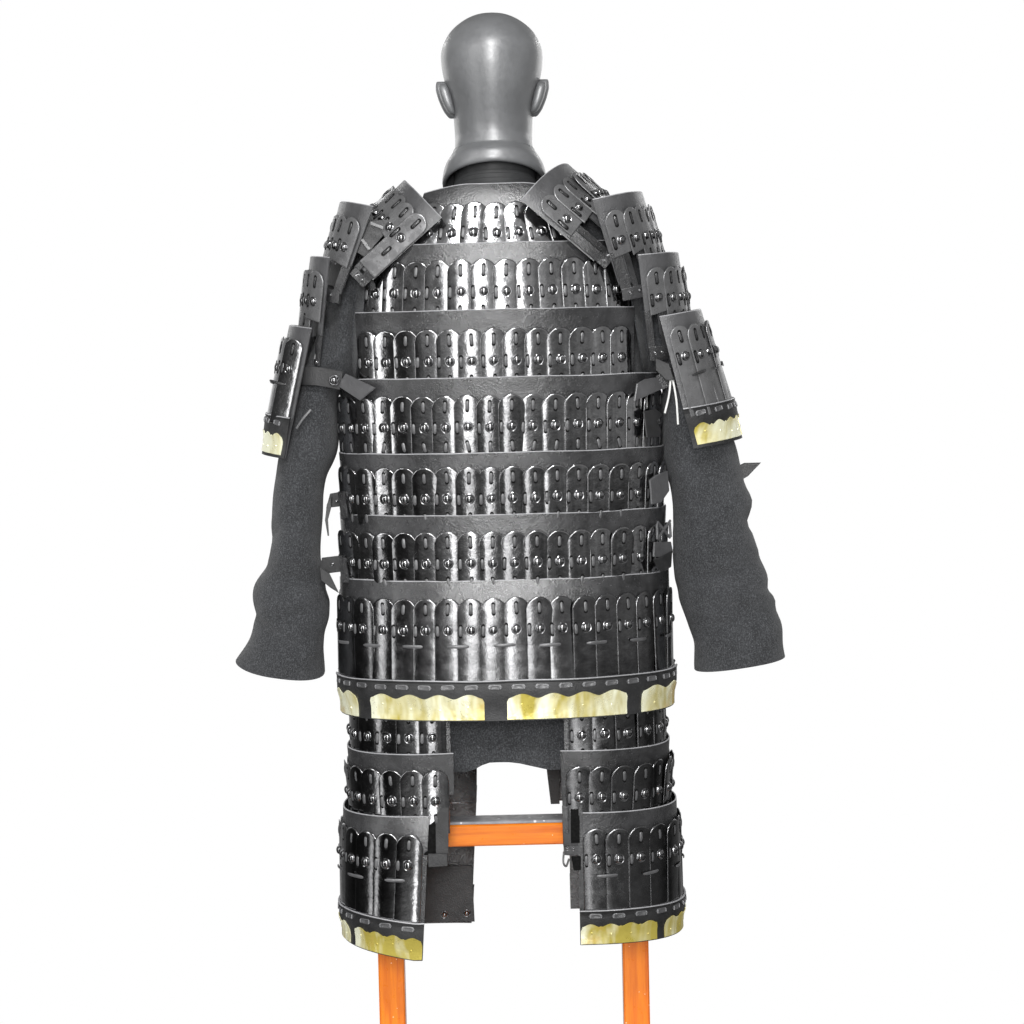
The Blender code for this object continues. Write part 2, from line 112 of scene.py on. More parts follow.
# Arm guards: centre of the top section (distance from the middle, height, shift in Y), lean,
# height, half width and half depth at the top and at the bottom, back and front end in degrees
# round the arm, and how far the front is turned down the arm.
ARM_ROWS = {
    "left": (
        (1, 0.073, 1.501, 0.0, 49.6, 0.128, 0.078, 0.073, 0.13, 0.113, 90.0, -88.0, 0.0),
        (2, 0.149, 1.515, 0.0, 24.4, 0.12, 0.068, 0.0515, 0.133, 0.105, 77.0, -74.0, 0.0),
        (3, 0.21, 1.449, 0.0, 7.5, 0.112, 0.0505, 0.053, 0.118, 0.089, 70.0, -78.0, 0.0),
        (4, 0.236, 1.352, 0.0, 14.0, 0.186, 0.057, 0.054, 0.1, 0.08, 70.0, -80.0, 0.0),
    ),
    "right": (
        (1, 0.034, 1.522, 0.005, 49.0, 0.13, 0.084, 0.08, 0.138, 0.124, 90.0, -72.0, 0.018),
        (2, 0.139, 1.522, 0.005, 16.5, 0.122, 0.0655, 0.0645, 0.149, 0.113, 96.0, -72.0, 0.0),
        (3, 0.195, 1.445, 0.002, 6.5, 0.112, 0.058, 0.0605, 0.13, 0.093, 92.0, -76.0, 0.0),
        (4, 0.226, 1.361, 0.0, 14.0, 0.19, 0.0576, 0.065, 0.106, 0.083, 94.0, -80.0, 0.0),
    ),
}

# How far each metre away from the middle of an arm lowers its guard's edges.
ARM_CANT = {("left", 1): 0.04, ("left", 2): 0.2, ("left", 4): 0.1, ("right", 2): 0.1,
            ("right", 3): 0.04, ("right", 4): 0.1}

# A row's surface: its frame; half width and half depth at the bottom and the top; height; the
# angles of its ends; roundness; and how far it is lifted, skewed, canted, sagged and slanted.
Row = namedtuple("Row", "frame bottom top height back front power lift skew cant sag slant",
                 defaults=(0.0, 0.0, 0.0))
# Where a sagging row starts to sag, from its middle, and over what distance it grows.
SAG_START = 0.137
SAG_REACH = 0.113
Shape = namedtuple("Shape", "points faces")


# ---- curves and sections
def section_at(sections, height):
    """Half width and half depth at a height, between the table's rows."""
    heights = [section[0] for section in sections]
    return tuple(float(np.interp(height, heights, [section[i] for section in sections]))
                 for i in (1, 2))


def signed_power(value, power):
    """A power that keeps the sign of its base."""
    return math.copysign(abs(value) ** power, value)


def section_point(half_width, half_depth, angle, power, offset=0.0):
    """A point of a superellipse, moved out along its normal by an offset."""
    x = half_width * signed_power(math.cos(angle), 2.0 / power)
    y = half_depth * signed_power(math.sin(angle), 2.0 / power)
    normal = Vector((
        signed_power(x / half_width, power - 1.0) / half_width,
        signed_power(y / half_depth, power - 1.0) / half_depth,
    )).normalized()
    return x + normal.x * offset, y + normal.y * offset


def angle_at_x(x, half_width, power):
    """The angle in the back quarter at which a section reaches a distance in X."""
    share = max(-1.0, min(1.0, x / half_width))
    return math.acos(signed_power(share, power / 2.0))


def row_point(row, angle, rise, offset):
    """A point of a row: rise is 0 at its bottom edge and 1 at its top edge."""
    half_width = row.bottom[0] + (row.top[0] - row.bottom[0]) * rise
    half_depth = row.bottom[1] + (row.top[1] - row.bottom[1]) * rise
    x, y = section_point(half_width, half_depth, angle, row.power, row.lift * rise + offset)
    drop = row.skew * (1.0 - math.sin(angle)) + row.cant * x
    if row.sag:
        share = min(1.0, max(0.0, (SAG_START - x) / SAG_REACH)) * (1.0 - rise)
        drop += row.sag * share
        x += row.slant * share
    return row.frame @ Vector((x, y, row.height * rise - drop))


def smooth_curve(points, steps):
    """Points along a Catmull-Rom curve through the given rows of numbers."""
    rows = np.array(points, float)
    padded = np.vstack((2.0 * rows[0] - rows[1], rows, 2.0 * rows[-1] - rows[-2]))
    result = []
    for t in np.linspace(0.0, len(rows) - 1.0, steps + 1):
        i = min(int(t), len(rows) - 2)
        f = t - i
        a, b, c, d = padded[i:i + 4]
        result.append(0.5 * (2.0 * b + (c - a) * f + (2.0 * a - 5.0 * b + 4.0 * c - d) * f * f
                             + (3.0 * b - a - 3.0 * c + d) * f ** 3))
    return np.array(result)


def axes_at(x_axis, y_axis, z_axis, origin):
    """The matrix of three axes at an origin."""
    return Matrix((*zip(x_axis, y_axis, z_axis, origin), (0.0, 0.0, 0.0, 1.0)))


def turns(count):
    """Equally spaced angles all round."""
    return [2.0 * math.pi * i / count for i in range(count)]


def jitter(rng, reach):
    """A random step of up to a reach either way."""
    return rng.uniform(-reach, reach)


class Strip:
    """A row's bent surface, addressed in metres along it, up it and out from it."""

    STEPS = 360

    def __init__(self, row):
        self.row = row
        self.turns = np.linspace(row.back, row.front, self.STEPS + 1)
        middle = [row_point(row, turn, 0.5, LEATHER) for turn in self.turns]
        gaps = [(b - a).length for a, b in zip(middle, middle[1:])]
        self.lengths = np.concatenate(([0.0], np.cumsum(gaps)))
        self.length = float(self.lengths[-1])
        self.height = row.height
        _, normal, up = self.axes(self.length / 2.0, self.height / 2.0)
        run = self.point(self.length * 0.51, 0.05) - self.point(self.length * 0.49, 0.05)
        self.rightward = run.dot(up.cross(normal)) > 0.0

    def along_at_x(self, x):
        """The distance along the strip at which it first reaches an X."""
        off = np.array([self.point(s, self.height / 2.0).x - x for s in self.lengths])
        crossed = np.nonzero(off[1:] * off[:-1] <= 0.0)[0]
        return float(self.lengths[int(crossed[0] if len(crossed) else np.argmin(np.abs(off)))])

    def point(self, along, up, out=0.0):
        """A spot on the strip's outer face, or out from it."""
        turn = float(np.interp(along, self.lengths, self.turns))
        return row_point(self.row, turn, up / self.height, LEATHER + out)

    def axes(self, along, up):
        """The unit vectors to the right (seen from outside), outwards and upwards."""
        step = 0.002
        here = min(max(along, step), self.length - step)
        run = self.point(here + step, up) - self.point(here - step, up)
        rise = (self.point(here, up + step) - self.point(here, up - step)).normalized()
        centre = self.row.frame @ Vector((0.0, 0.0, up))
        normal = run.cross(rise).normalized()
        if normal.dot(self.point(here, up) - centre) < 0.0:
            normal.negate()
        right = rise.cross(normal)
        return right, normal, rise

    def place(self, along, up, out=0.0, tilt=0.0, lean=0.0):
        """A matrix whose X runs right, Y inwards and Z upwards at a spot on the strip."""
        right, normal, rise = self.axes(along, up)
        place = axes_at(right, -normal, rise, self.point(along, up, out))
        return place @ Matrix.Rotation(tilt, 4, "Z") @ Matrix.Rotation(lean, 4, "X")

    def bend(self, along, up, reach):
        """How sharply the strip bends at a spot, as radians per metre."""
        a = self.axes(along - reach / 2.0, up)[1]
        b = self.axes(along + reach / 2.0, up)[1]
        return a.angle(b, 0.0) / reach


# ---- meshes
def grid_faces(columns, rings, closed=False):
    """Quads of a grid whose points run ring by ring."""
    width = columns if closed else columns + 1
    faces = []
    for ring in range(rings):
        for column in range(columns):
            after = (column + 1) % width
            faces.append((ring * width + column, ring * width + after,
                          (ring + 1) * width + after, (ring + 1) * width + column))
    return faces


def tube(rings):
    """A closed tube through rings of equally many points, with its ends capped."""
    count = len(rings[0])
    points = np.array([point for ring in rings for point in ring], float)
    faces = grid_faces(count, len(rings) - 1, closed=True)
    faces.append(tuple(range(count - 1, -1, -1)))
    faces.append(tuple(range((len(rings) - 1) * count, len(rings) * count)))
    return Shape(points, faces)


def add_object(name, data):
    """A new object in the scene."""
    obj = bpy.data.objects.new(name, data)
    bpy.context.scene.collection.objects.link(obj)
    return obj


class Batch:
    """Collects copies of shapes and turns them into one mesh object."""

    def __init__(self):
        self.points = []
        self.faces = []
        self.slots = []
        self.count = 0

    def add(self, shape, place=None, slot=0):
        """Add a copy of a shape at a place, in one material slot or a list of them."""
        points = shape.points
        if place is not None:
            matrix = np.array(place, float)
            points = points @ matrix[:3, :3].T + matrix[:3, 3]
        self.points.append(points)
        self.faces.extend(tuple(i + self.count for i in face) for face in shape.faces)
        self.slots.extend(slot if isinstance(slot, list) else [slot] * len(shape.faces))
        self.count += len(points)

    def build(self, name, materials, record_slot, replaced=(), sharp=38.0):
        """Make the object with its materials, in place of the nodes that it replaces."""
        mesh = bpy.data.meshes.new(name)
        mesh.from_pydata(np.vstack(self.points).tolist(), [], self.faces)
        mesh.polygons.foreach_set("material_index", self.slots)
        for material in materials:
            mesh.materials.append(bpy.data.materials[material])
        return finish_piece(add_object(name, mesh), replaced, sharp)


def finish_piece(obj, replaced=(), sharp=38.0):
    """Turn the faces outwards, smooth them and tie the piece to the frame."""
    mesh = obj.data
    bm = bmesh.new()
    bm.from_mesh(mesh)
    bmesh.ops.recalc_face_normals(bm, faces=bm.faces)
    bm.to_mesh(mesh)
    bm.free()
    mesh.shade_smooth()
    mesh.set_sharp_from_angle(angle=math.radians(sharp))
    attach(obj, BODY)
    if replaced:
        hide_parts(*replaced)
    return obj


# ---- small shapes
PLATE_COLUMNS = 12
PLATE_LEVELS = (0.0, 0.015, 0.5, 0.85, 0.985, 1.0)
PLATE_BEVEL = 0.0008
DISH_POWER = 2.6        # how flat the middle of a plate stays before its edges turn in


def plate_depth(x, half, dish):
    """How far a plate's bulge stands out at a distance from its middle."""
    return dish * (1.0 - abs(x / half) ** DISH_POWER)


def plate_face(half, height, dish, inset, back):
    """The points of a plate's face, drawn in from the outline and moved out by a thickness."""
    points = []
    for rise in PLATE_LEVELS:
        for column in range(PLATE_COLUMNS + 1):
            x = -(half - inset) * math.cos(math.pi * column / PLATE_COLUMNS)
            top = height - half + math.sqrt(max((half - inset) ** 2 - x * x, 0.0))
            points.append((x, -plate_depth(x, half, dish) - back, inset + (top - inset) * rise))
    return points


def lamella(width, height, dish, thickness):
    """A steel plate with a round top and a bevelled edge, its bottom edge at Z = 0."""
    half = width / 2.0
    wide = PLATE_COLUMNS + 1
    levels = len(PLATE_LEVELS)
    border = list(range(wide))
    border += [r * wide + PLATE_COLUMNS for r in range(1, levels)]
    border += [(levels - 1) * wide + c for c in range(PLATE_COLUMNS - 1, -1, -1)]
    border += [r * wide for r in range(levels - 2, 0, -1)]
    front = plate_face(half, height, dish, PLATE_BEVEL, thickness)
    back = plate_face(half, height, dish, 0.0, 0.0)
    outline = plate_face(half, height, dish, 0.0, thickness - PLATE_BEVEL)
    points = front + back + [outline[i] for i in border]
    flat = grid_faces(PLATE_COLUMNS, levels - 1)
    faces = list(flat)
    faces += [tuple(i + len(front) for i in reversed(quad)) for quad in flat]
    start = 2 * len(front)
    for k, here in enumerate(border):
        n = (k + 1) % len(border)
        there = border[n]
        faces.append((there, here, start + k, start + n))
        faces.append((start + n, start + k, here + len(front), there + len(front)))
    return Shape(np.array(points, float), faces)


def dome(radius, height, segments=14):
    """A domed rivet head in its raised seat, pointing towards -Y."""
    rings = []
    for share, rise in ((1.26, -0.16), (1.24, 0.04), (1.18, 0.09), (1.04, 0.02), (0.98, 0.26),
                        (0.86, 0.57), (0.63, 0.82), (0.32, 0.96)):
        rings.append([(radius * share * math.cos(a), -height * rise,
                       radius * share * math.sin(a)) for a in turns(segments)])
    points = [point for ring in rings for point in ring] + [(0.0, -height, 0.0)]
    faces = grid_faces(segments, len(rings) - 1, closed=True)
    faces.append(tuple(range(segments)))
    top = len(points) - 1
    base = (len(rings) - 1) * segments
    faces += [(base + i, base + (i + 1) % segments, top) for i in range(segments)]
    return Shape(np.array(points, float), faces)


def thong(length, width, rise, stations=8):
    """A leather lace that comes out of one hole and goes into the next, along Z."""
    rings = []
    for s in np.linspace(-1.0, 1.0, stations + 1):
        centre = -rise * (1.0 - abs(s) ** 3) + 0.0009
        half = width / 2.0 * (1.0 - 0.45 * s ** 6)
        rings.append([(half * math.cos(a), centre + 0.0008 * math.sin(a), s * length / 2.0)
                      for a in turns(6)])
    return tube(rings)


def hole_shade_patch(length, width):
    """A low dark patch of painted shade, shaped like the long hole that a lace runs through, along
    Z.
    """
    half, straight = width / 2.0, (length - width) / 2.0
    outline = []
    for i in range(10):
        a = math.pi * i / 9.0
        outline.append((half * math.cos(a), straight + half * math.sin(a)))
    outline += [(-x, -z) for x, z in outline]
    return tube([[(x, y, z) for x, z in outline] for y in (0.0003, -0.0003)])


def wobble(*key):
    """A smooth, repeatable unevenness between about -1 and 1."""
    return noise.noise(Vector(key))


EDGE_ROUNDING = 0.0007
WALL_POINTS = 11        # points round a strip's section
WALL_CUT = (2, 3)       # the segments of its bare upper edge, in the paler cut-edge leather, partly the raw edge's own colour and partly a painted highlight
WALL_SWAY = 0.0005      # how far a strip's leather stands in or out of its smooth surface


def leather_wall(strip, v0, v1, out0, out1, start, end, corners):
    """A leather band on a row from height v0 to v1, between two distances out of its face."""
    steps = max(6, round((end - start) / 0.008))
    edge = min(EDGE_ROUNDING, (out1 - out0) * 0.4)
    cut = edge * 1.7
    rings = []
    for s in np.linspace(start, end, steps + 1):
        here = wobble(s * 9.0, 0.0, strip.length * 7.0)
        high = v1 + 0.0009 * wobble(s * 16.0, 3.0, strip.length * 5.0)
        share = (s - start) / (end - start)
        high -= corners[0] * max(0.0, 1.0 - share * 3.2) ** 1.6
        high -= corners[1] * max(0.0, share * 3.2 - 2.2) ** 1.6
        section = [(v0 + edge, out0), (high - edge, out0), (high, out0 + edge),
                   (high, out1 - cut * 0.8), (high - cut, out1)]
        section += [(v0 + (high - v0) * f, out1) for f in (0.75, 0.5, 0.25)]
        section += [(v0 + edge, out1), (v0, out1 - edge), (v0, out0 + edge)]
        rings.append([strip.point(s, v, out + WALL_SWAY * here * (0.3 + v / strip.height))
                      for v, out in section])
    return tube([[tuple(point) for point in ring] for ring in rings])


def cut_edge_highlight_slots(shape, columns, segments):
    """Slots for a tube's faces: 1 on the given segments of its section and 0 elsewhere. Slot 1
    takes the paler cut-edge leather, partly the raw edge's own colour and partly a painted
    highlight.
    """
    return [1 if k % columns in segments and k < len(shape.faces) - 2 else 0
            for k in range(len(shape.faces))]


# ---- dressed rows
# A kind of plate with its fittings. The rivet and the laces are so far below the plate's top edge,
# and hole is how many times as wide as its lace the dark patch of painted shade at a punched hole
# is.
PlateKind = namedtuple("PlateKind", "width pitch dish thickness rivet_size rivet lace edge_lace"
                       " lower_lace seam_lace lace_width hole steel lacing hide")
# How a row is dressed: the heights of its plates' ends, the leather beside the first and the
# last plate, how much shorter the strip is at its two ends, how far its corners are cut down, a
# notch in its lower edge (from, to, height), the turn of its first plate, and whether it has
# laces near its plates' lower ends and across every second seam.
Dressing = namedtuple("Dressing", "low high margins trim corners notch first_turn lower seam",
                      defaults=((0.006, 0.006), (0.0, 0.0), (0.0, 0.0), None, 0.0, True, False))
PLATE_CLEAR = 0.0008    # gap between a row's leather and its plates
LAP = 0.0018            # how far a plate's edge is lifted over its neighbour's
LAP_FOR_BEND = 0.00011  # what a sharp bend of the row adds to that
EDGE_LACE_INSET = 0.0046
SEAM_LACE_INSET = 0.003
NOTCH_REACH = 0.014     # how near to a notch a plate is cut short


def wide_plate(sizes):
    """The plates of the torso and thigh rows."""
    return PlateKind(width=sizes.torso_width, pitch=sizes.torso_pitch, dish=sizes.dish,
                     thickness=sizes.thickness, rivet_size=sizes.rivet_radius, rivet=0.0438,
                     lace=0.015, edge_lace=0.045, lower_lace=0.071, seam_lace=0.066,
                     lace_width=sizes.lace_width, hole=1.16, steel="Polished Steel",
                     lacing="Laced Leather", hide="Waxed Leather")


def arm_plate(sizes):
    """The narrower, flatter and duller plates of the arm guards."""
    return PlateKind(width=sizes.arm_width, pitch=sizes.arm_pitch, dish=sizes.dish * 0.6,
                     thickness=sizes.thickness, rivet_size=sizes.rivet_radius * 0.9, rivet=0.043,
                     lace=0.015, edge_lace=0.044, lower_lace=0.07, seam_lace=0.066,
                     lace_width=sizes.lace_width * 0.9, hole=1.4, steel="Brushed Steel",
                     lacing="Waxed Leather", hide="Worn Leather")


def build_strip(name, strip, dressing, hide, node):
    """A row's leather strip, in up to three stretches beside and above its notch."""
    start, end = dressing.trim[0], strip.length - dressing.trim[1]
    stretches = [(start, end, 0.0)]
    if dressing.notch:
        left, right, _ = dressing.notch
        stretches = [(start, left, 0.0), dressing.notch, (right, end, 0.0)]
    leather = Batch()
    for first, last, low in stretches:
        if last - first > 0.001:
            wall = leather_wall(strip, low, strip.height, -LEATHER, 0.0, first, last,
                                dressing.corners)
            leather.add(wall, None, cut_edge_highlight_slots(wall, WALL_POINTS, WALL_CUT))
    leather.build(name + "_strip", [hide, "Cut Leather"], "leather", [node] if node else [])


def dress_row(name, row, kind, dressing, plates_node, leather_node=None):
    """Build a row: its leather strip, its overlapping plates, and their rivets and laces."""
    strip = Strip(row)
    rng = random.Random(name)
    build_strip(name, strip, dressing, kind.hide, leather_node)
    room = strip.length - sum(dressing.margins) - sum(dressing.trim) - kind.width
    count = max(2, round(room / kind.pitch) + 1)
    pitch = room / (count - 1)
    half = kind.width / 2.0
    low, notch = dressing.low, dressing.notch
    plates, rivets, laces = Batch(), Batch(), Batch()
    for k in range(count):
        along = dressing.trim[0] + dressing.margins[0] + half + k * pitch
        along += jitter(rng, 0.0004)
        bend = strip.bend(along, (low + dressing.high) / 2.0, kind.width)
        tilt = math.asin((LAP + LAP_FOR_BEND * max(bend - 6.0, 0.0)) / pitch)
        tilt += math.radians(jitter(rng, 1.1)) + (0.0 if k else dressing.first_turn)
        dish = kind.dish * rng.uniform(0.7, 1.35)
        base = low
        if notch and notch[0] > 0.0 and notch[0] - NOTCH_REACH < along < notch[1] + NOTCH_REACH:
            base = max(low, notch[2] - 0.002)
        height = (strip.point(along, dressing.high) - strip.point(along, base)).length
        place = strip.place(along, base + jitter(rng, 0.0007),
                            PLATE_CLEAR + half * math.sin(tilt), tilt,
                            math.radians(jitter(rng, 1.3)))
        plates.add(lamella(kind.width, height, dish, kind.thickness), place)

        def spot(x, below):
            front = -kind.thickness - plate_depth(x, half, dish)
            return place @ Matrix.Translation((x, front, height - below))

        def lace(x, below, length, spread, rise=0.0016, turn=0.0):
            turn += math.radians(jitter(rng, spread))
            here = spot(x, below) @ Matrix.Rotation(turn, 4, "Y")
            laces.add(thong(length, kind.lace_width, rise), here, 0)
            if turn < 1.0:
                # a dark patch of painted shade where the lace goes into its hole
                laces.add(hole_shade_patch(length * 1.2, kind.lace_width * kind.hole), here, 1)

        head = dome(kind.rivet_size, kind.rivet_size * 0.72)
        rivets.add(head, spot(jitter(rng, 0.0006), kind.rivet))
        lace(0.0, kind.lace, 0.0155, 4.0)
        lace(EDGE_LACE_INSET - half, kind.edge_lace, 0.016, 3.0)
        if dressing.lower and height > kind.lower_lace + 0.008:
            lace(0.0, kind.lower_lace, 0.015, 14.0)
        if dressing.seam and k % 2 == (1 if strip.rightward else 0):
            lace(SEAM_LACE_INSET - half, kind.seam_lace, 0.033, 3.0, 0.0028, math.pi / 2.0)
    plates.build(name + "_lamellae", [kind.steel], "steel", [plates_node], sharp=62.0)
    rivets.build(name + "_rivets", ["Rivet Steel"], "steel")
    laces.build(name + "_laces", [kind.lacing, "Punched Hole"], "leather")
    return strip


# ---- hem bands and trims
# A hem: how high its band reaches and where the plates' ends lie behind it; the level and the
# pitch of its stitches; the lower edge and the crest of its brass; the length and depth of the
# brass's waves, and how far their valleys are cut to a point.
Hem = namedtuple("Hem", "top tuck stitch_level stitch_pitch low crest wave depth pointed")
TORSO_HEM = Hem(0.056, 0.04, 0.0468, 0.0315, 0.0012, 0.0372, 0.04, 0.0064, 0.0)
THIGH_HEM = Hem(0.05, 0.035, 0.0415, 0.03, 0.001, 0.0305, 0.027, 0.005, 0.35)
GUARD_HEM = Hem(0.058, 0.045, 0.049, 0.025, 0.0042, 0.0345, 0.0245, 0.0064, 0.45)
HEM_CLEAR = 0.0056      # how far a hem band's back face stands out over the plates' ends
BRASS_CORNER = 0.01
BAND_POINTS = 16        # points round a hem band's section
BAND_CUT = (6, 7)       # the segments of its bare lip, in the paler cut-edge leather, partly the raw edge's own colour and partly a painted highlight


def hem_out(v, tuck):
    """How far a hem band's back face stands off the row's leather at a height."""
    share = max(0.0, min(1.0, (v - tuck * 0.35) / (tuck * 0.6)))
    return 0.0004 + (HEM_CLEAR - 0.0004) * share * share * (3.0 - 2.0 * share)


def hem_band(strip, hem):
    """A leather band that lies on the row below its plates and laps over their ends."""
    rings = []
    for s in np.linspace(0.0, strip.length, max(8, round(strip.length / 0.006))):
        high = hem.top + 0.001 * wobble(s * 14.0, 1.0, strip.length * 4.0)
        levels = [high * f for f in (0.0, 0.2, 0.4, 0.6, 0.8)]
        section = [(v + (0.0006 if v == 0.0 else 0.0), hem_out(v, hem.tuck)) for v in levels]
        front = [(v, hem_out(v, hem.tuck) + LEATHER) for v in reversed(levels)]
        base = hem_out(high, hem.tuck)
        lip = [(high - 0.0006, base), (high, base + 0.0008), (high + 0.0004, base + 0.0026),
               (high - 0.001, base + 0.0034), (high - 0.0028, base + 0.003),
               (high - 0.0038, base + LEATHER)]
        rings.append([tuple(strip.point(s, v, out)) for v, out in section + lip + front])
    return tube(rings)


def lozenge(length, width, depth):
    """A flat stitch with pointed ends that lies along X, raised towards -Y."""
    half, side = length / 2.0, width / 2.0
    outline = ((-half, 0.0), (-half * 0.72, -side), (half * 0.72, -side), (half, 0.0),
               (half * 0.72, side), (-half * 0.72, side))
    return tube([[(x * f, y, z * f) for x, z in outline]
                 for f, y in ((1.0, 0.0004), (1.0, -depth * 0.6), (0.86, -depth),
                              (0.62, -depth), (0.52, -depth * 0.55))])


def hem_stitches(strip, hem, rng):
    """A line of lozenge stitches along a hem band, with a paler knot at both their ends, in the
    cut-edge leather with its painted highlight.
    """
    batch = Batch()
    start, end = 0.006, strip.length - 0.006
    count = max(1, int((end - start) / hem.stitch_pitch))
    for k in range(count):
        s = start + (end - start) * (k + 0.5) / count
        out = hem_out(hem.stitch_level, hem.tuck) + LEATHER
        place = strip.place(s, hem.stitch_level + jitter(rng, 0.0006), out)
        place = place @ Matrix.Rotation(math.radians(jitter(rng, 4.0)), 4, "Y")
        batch.add(lozenge(hem.stitch_pitch * 0.66, 0.0072, 0.0012), place, 0)
        for side in (-1.0, 1.0):
            knot = Matrix.Translation((side * hem.stitch_pitch * 0.25, -0.0007, 0.0))
            knot @= Matrix.Rotation(math.radians(90.0 + jitter(rng, 8.0)), 4, "Y")
            batch.add(lozenge(0.0056, 0.0015, 0.0009), place @ knot, 1)
    return batch


def brass_piece(strip, hem, start, end):
    """A sheet of brass along a hem, its top edge cut in waves and its upper corners round."""
    waves = max(1, round((end - start) / hem.wave))
    rings = []
    for s in np.linspace(start, end, max(10, round((end - start) / 0.0022))):
        share = (s - start) / (end - start) * waves
        near = abs(share - round(share))
        dip = 1.0 - (0.5 - 0.5 * math.cos(2.0 * math.pi * share)) ** 0.8
        dip -= hem.pointed * math.exp(-(near / 0.06) ** 2)
        top = hem.crest - hem.depth * dip
        corner = min(s - start, end - s)
        if corner < BRASS_CORNER:
            arc = BRASS_CORNER ** 2 - (BRASS_CORNER - corner) ** 2
            top = min(top, hem.crest - 0.0105 + math.sqrt(max(0.0, arc)))
        top = max(top, hem.low + 0.012)
        back = [(hem.low + (top - hem.low) * f, 0.0) for f in (0.0, 0.33, 0.66, 1.0)]
        front = [(hem.low + (top - hem.low) * f, 0.0011) for f in (0.985, 0.66, 0.33, 0.02)]
        rings.append([tuple(strip.point(s, v, hem_out(v, hem.tuck) + LEATHER + 0.0002 + out))
                      for v, out in back + front])
    return tube(rings)


def trim_hem(name, strip, hem, pieces):
    """A hem's leather band with its stitches, and its brass pieces with their nails."""
    rng = random.Random(name)
    band = Batch()
    wall = hem_band(strip, hem)
    band.add(wall, None, cut_edge_highlight_slots(wall, BAND_POINTS, BAND_CUT))
    band.build(name + "_band", ["Matt Leather", "Cut Leather"], "leather")
    stitches = hem_stitches(strip, hem, rng)
    stitches.build(name + "_stitches", ["Laced Leather", "Cut Leather"], "leather")
    trims, nails = Batch(), Batch()
    for start, end in pieces:
        trims.add(brass_piece(strip, hem, start, end))
        count = max(2, round((end - start) / hem.wave))
        for k in range(count):
            s = start + (end - start) * (k + 0.5) / count + jitter(rng, 0.002)
            v = hem.low + (hem.crest - hem.low) * rng.uniform(0.3, 0.62)
            place = strip.place(s, v, hem_out(v, hem.tuck) + LEATHER + 0.0012)
            nails.add(dome(0.0019, 0.0012, 8), place)
    trims.build(name + "_brass", ["Hem Brass"], "brass")
    nails.build(name + "_nails", ["Hem Brass"], "brass")


def runs(start, end, length, gap):
    """Even stretches of a length with gaps between them."""
    found = []
    while start < end - 0.02:
        found.append((start, min(start + length, end)))
        start += length + gap
    return found


def strap(points, across, width, thickness):
    """A flat strap swept along points; across gives its width's direction at each point."""
    rings = []
    for k, point in enumerate(points):
        before, after = points[max(0, k - 1)], points[min(len(points) - 1, k + 1)]
        run = (after - before).normalized()
        side = across[k] if isinstance(across, list) else across
        side = (side - run * side.dot(run)).normalized()
        rise = run.cross(side)
        half, thick, cut = width / 2.0, thickness / 2.0, min(0.0006, thickness * 0.3)
        rings.append([tuple(point + side * a + rise * b) for a, b in (
            (-half + cut, -thick), (half - cut, -thick), (half, -thick + cut),
            (half, thick - cut), (half - cut, thick), (-half + cut, thick),
            (-half, thick - cut), (-half, -thick + cut))])
    return tube(rings)


def strap_on(strip, along, levels, outs, width, thickness=0.0024):
    """A strap that follows a row's surface upwards or downwards."""
    points = [strip.point(along, v, out) for v, out in zip(levels, outs)]
    across = [strip.axes(along, v)[0] for v in levels]
    return strap(points, across, width, thickness)


# What hangs from the back end of a row: its straps (distance along the row and width), how far
# they reach below the row, how far up they start, and the folded foot (from and to along the
# row, and height), if it has one.
Hanger = namedtuple("Hanger", "straps reach rise foot")
HANGERS = {
    ("arm", "left", 1): Hanger(
        ((0.009, 0.014), (0.028, 0.01)), 0.002, 0.016, (0.002, 0.03, 0.013)),
    ("arm", "left", 2): Hanger(((0.007, 0.014),), 0.004, 0.034, (0.0, 0.056, 0.0175)),
    ("arm", "left", 3): Hanger(((0.003, 0.01),), 0.034, 0.004, None),
    ("arm", "right", 1): Hanger(
        ((0.009, 0.014), (0.021, 0.01)), 0.002, 0.05, (0.002, 0.03, 0.015)),
    ("arm", "right", 2): Hanger(
        ((0.009, 0.015), (0.0225, 0.008)), 0.004, 0.046, (0.001, 0.041, 0.0175)),
    ("arm", "right", 3): Hanger(
        ((0.004, 0.01), (0.022, 0.007)), 0.014, 0.034, (0.0, 0.026, 0.021)),
    ("thigh", "right", 2): Hanger(
        ((0.004, 0.0085), (0.025, 0.006)), 0.018, 0.034, (-0.001, 0.023, 0.0165)),
}
# Notches in the rows' lower edges beside the hangers: from, to, height.
NOTCHES = {
    ("thigh", "left", 2): (0.0, 0.01, 0.052),
    ("arm", "left", 1): (0.034, 0.06, 0.056),
    ("arm", "left", 2): (0.016, 0.054, 0.034),
    ("arm", "left", 3): (0.009, 0.02, 0.026),
    ("arm", "right", 1): (0.026, 0.048, 0.048),
    ("arm", "right", 2): (0.027, 0.04, 0.042),
    ("arm", "right", 3): (0.009, 0.018, 0.032),
}
THIGH_HANGER_OUT = 0.005    # the thigh's hanger lies over its row's plates
HANGER_STEPS = 6


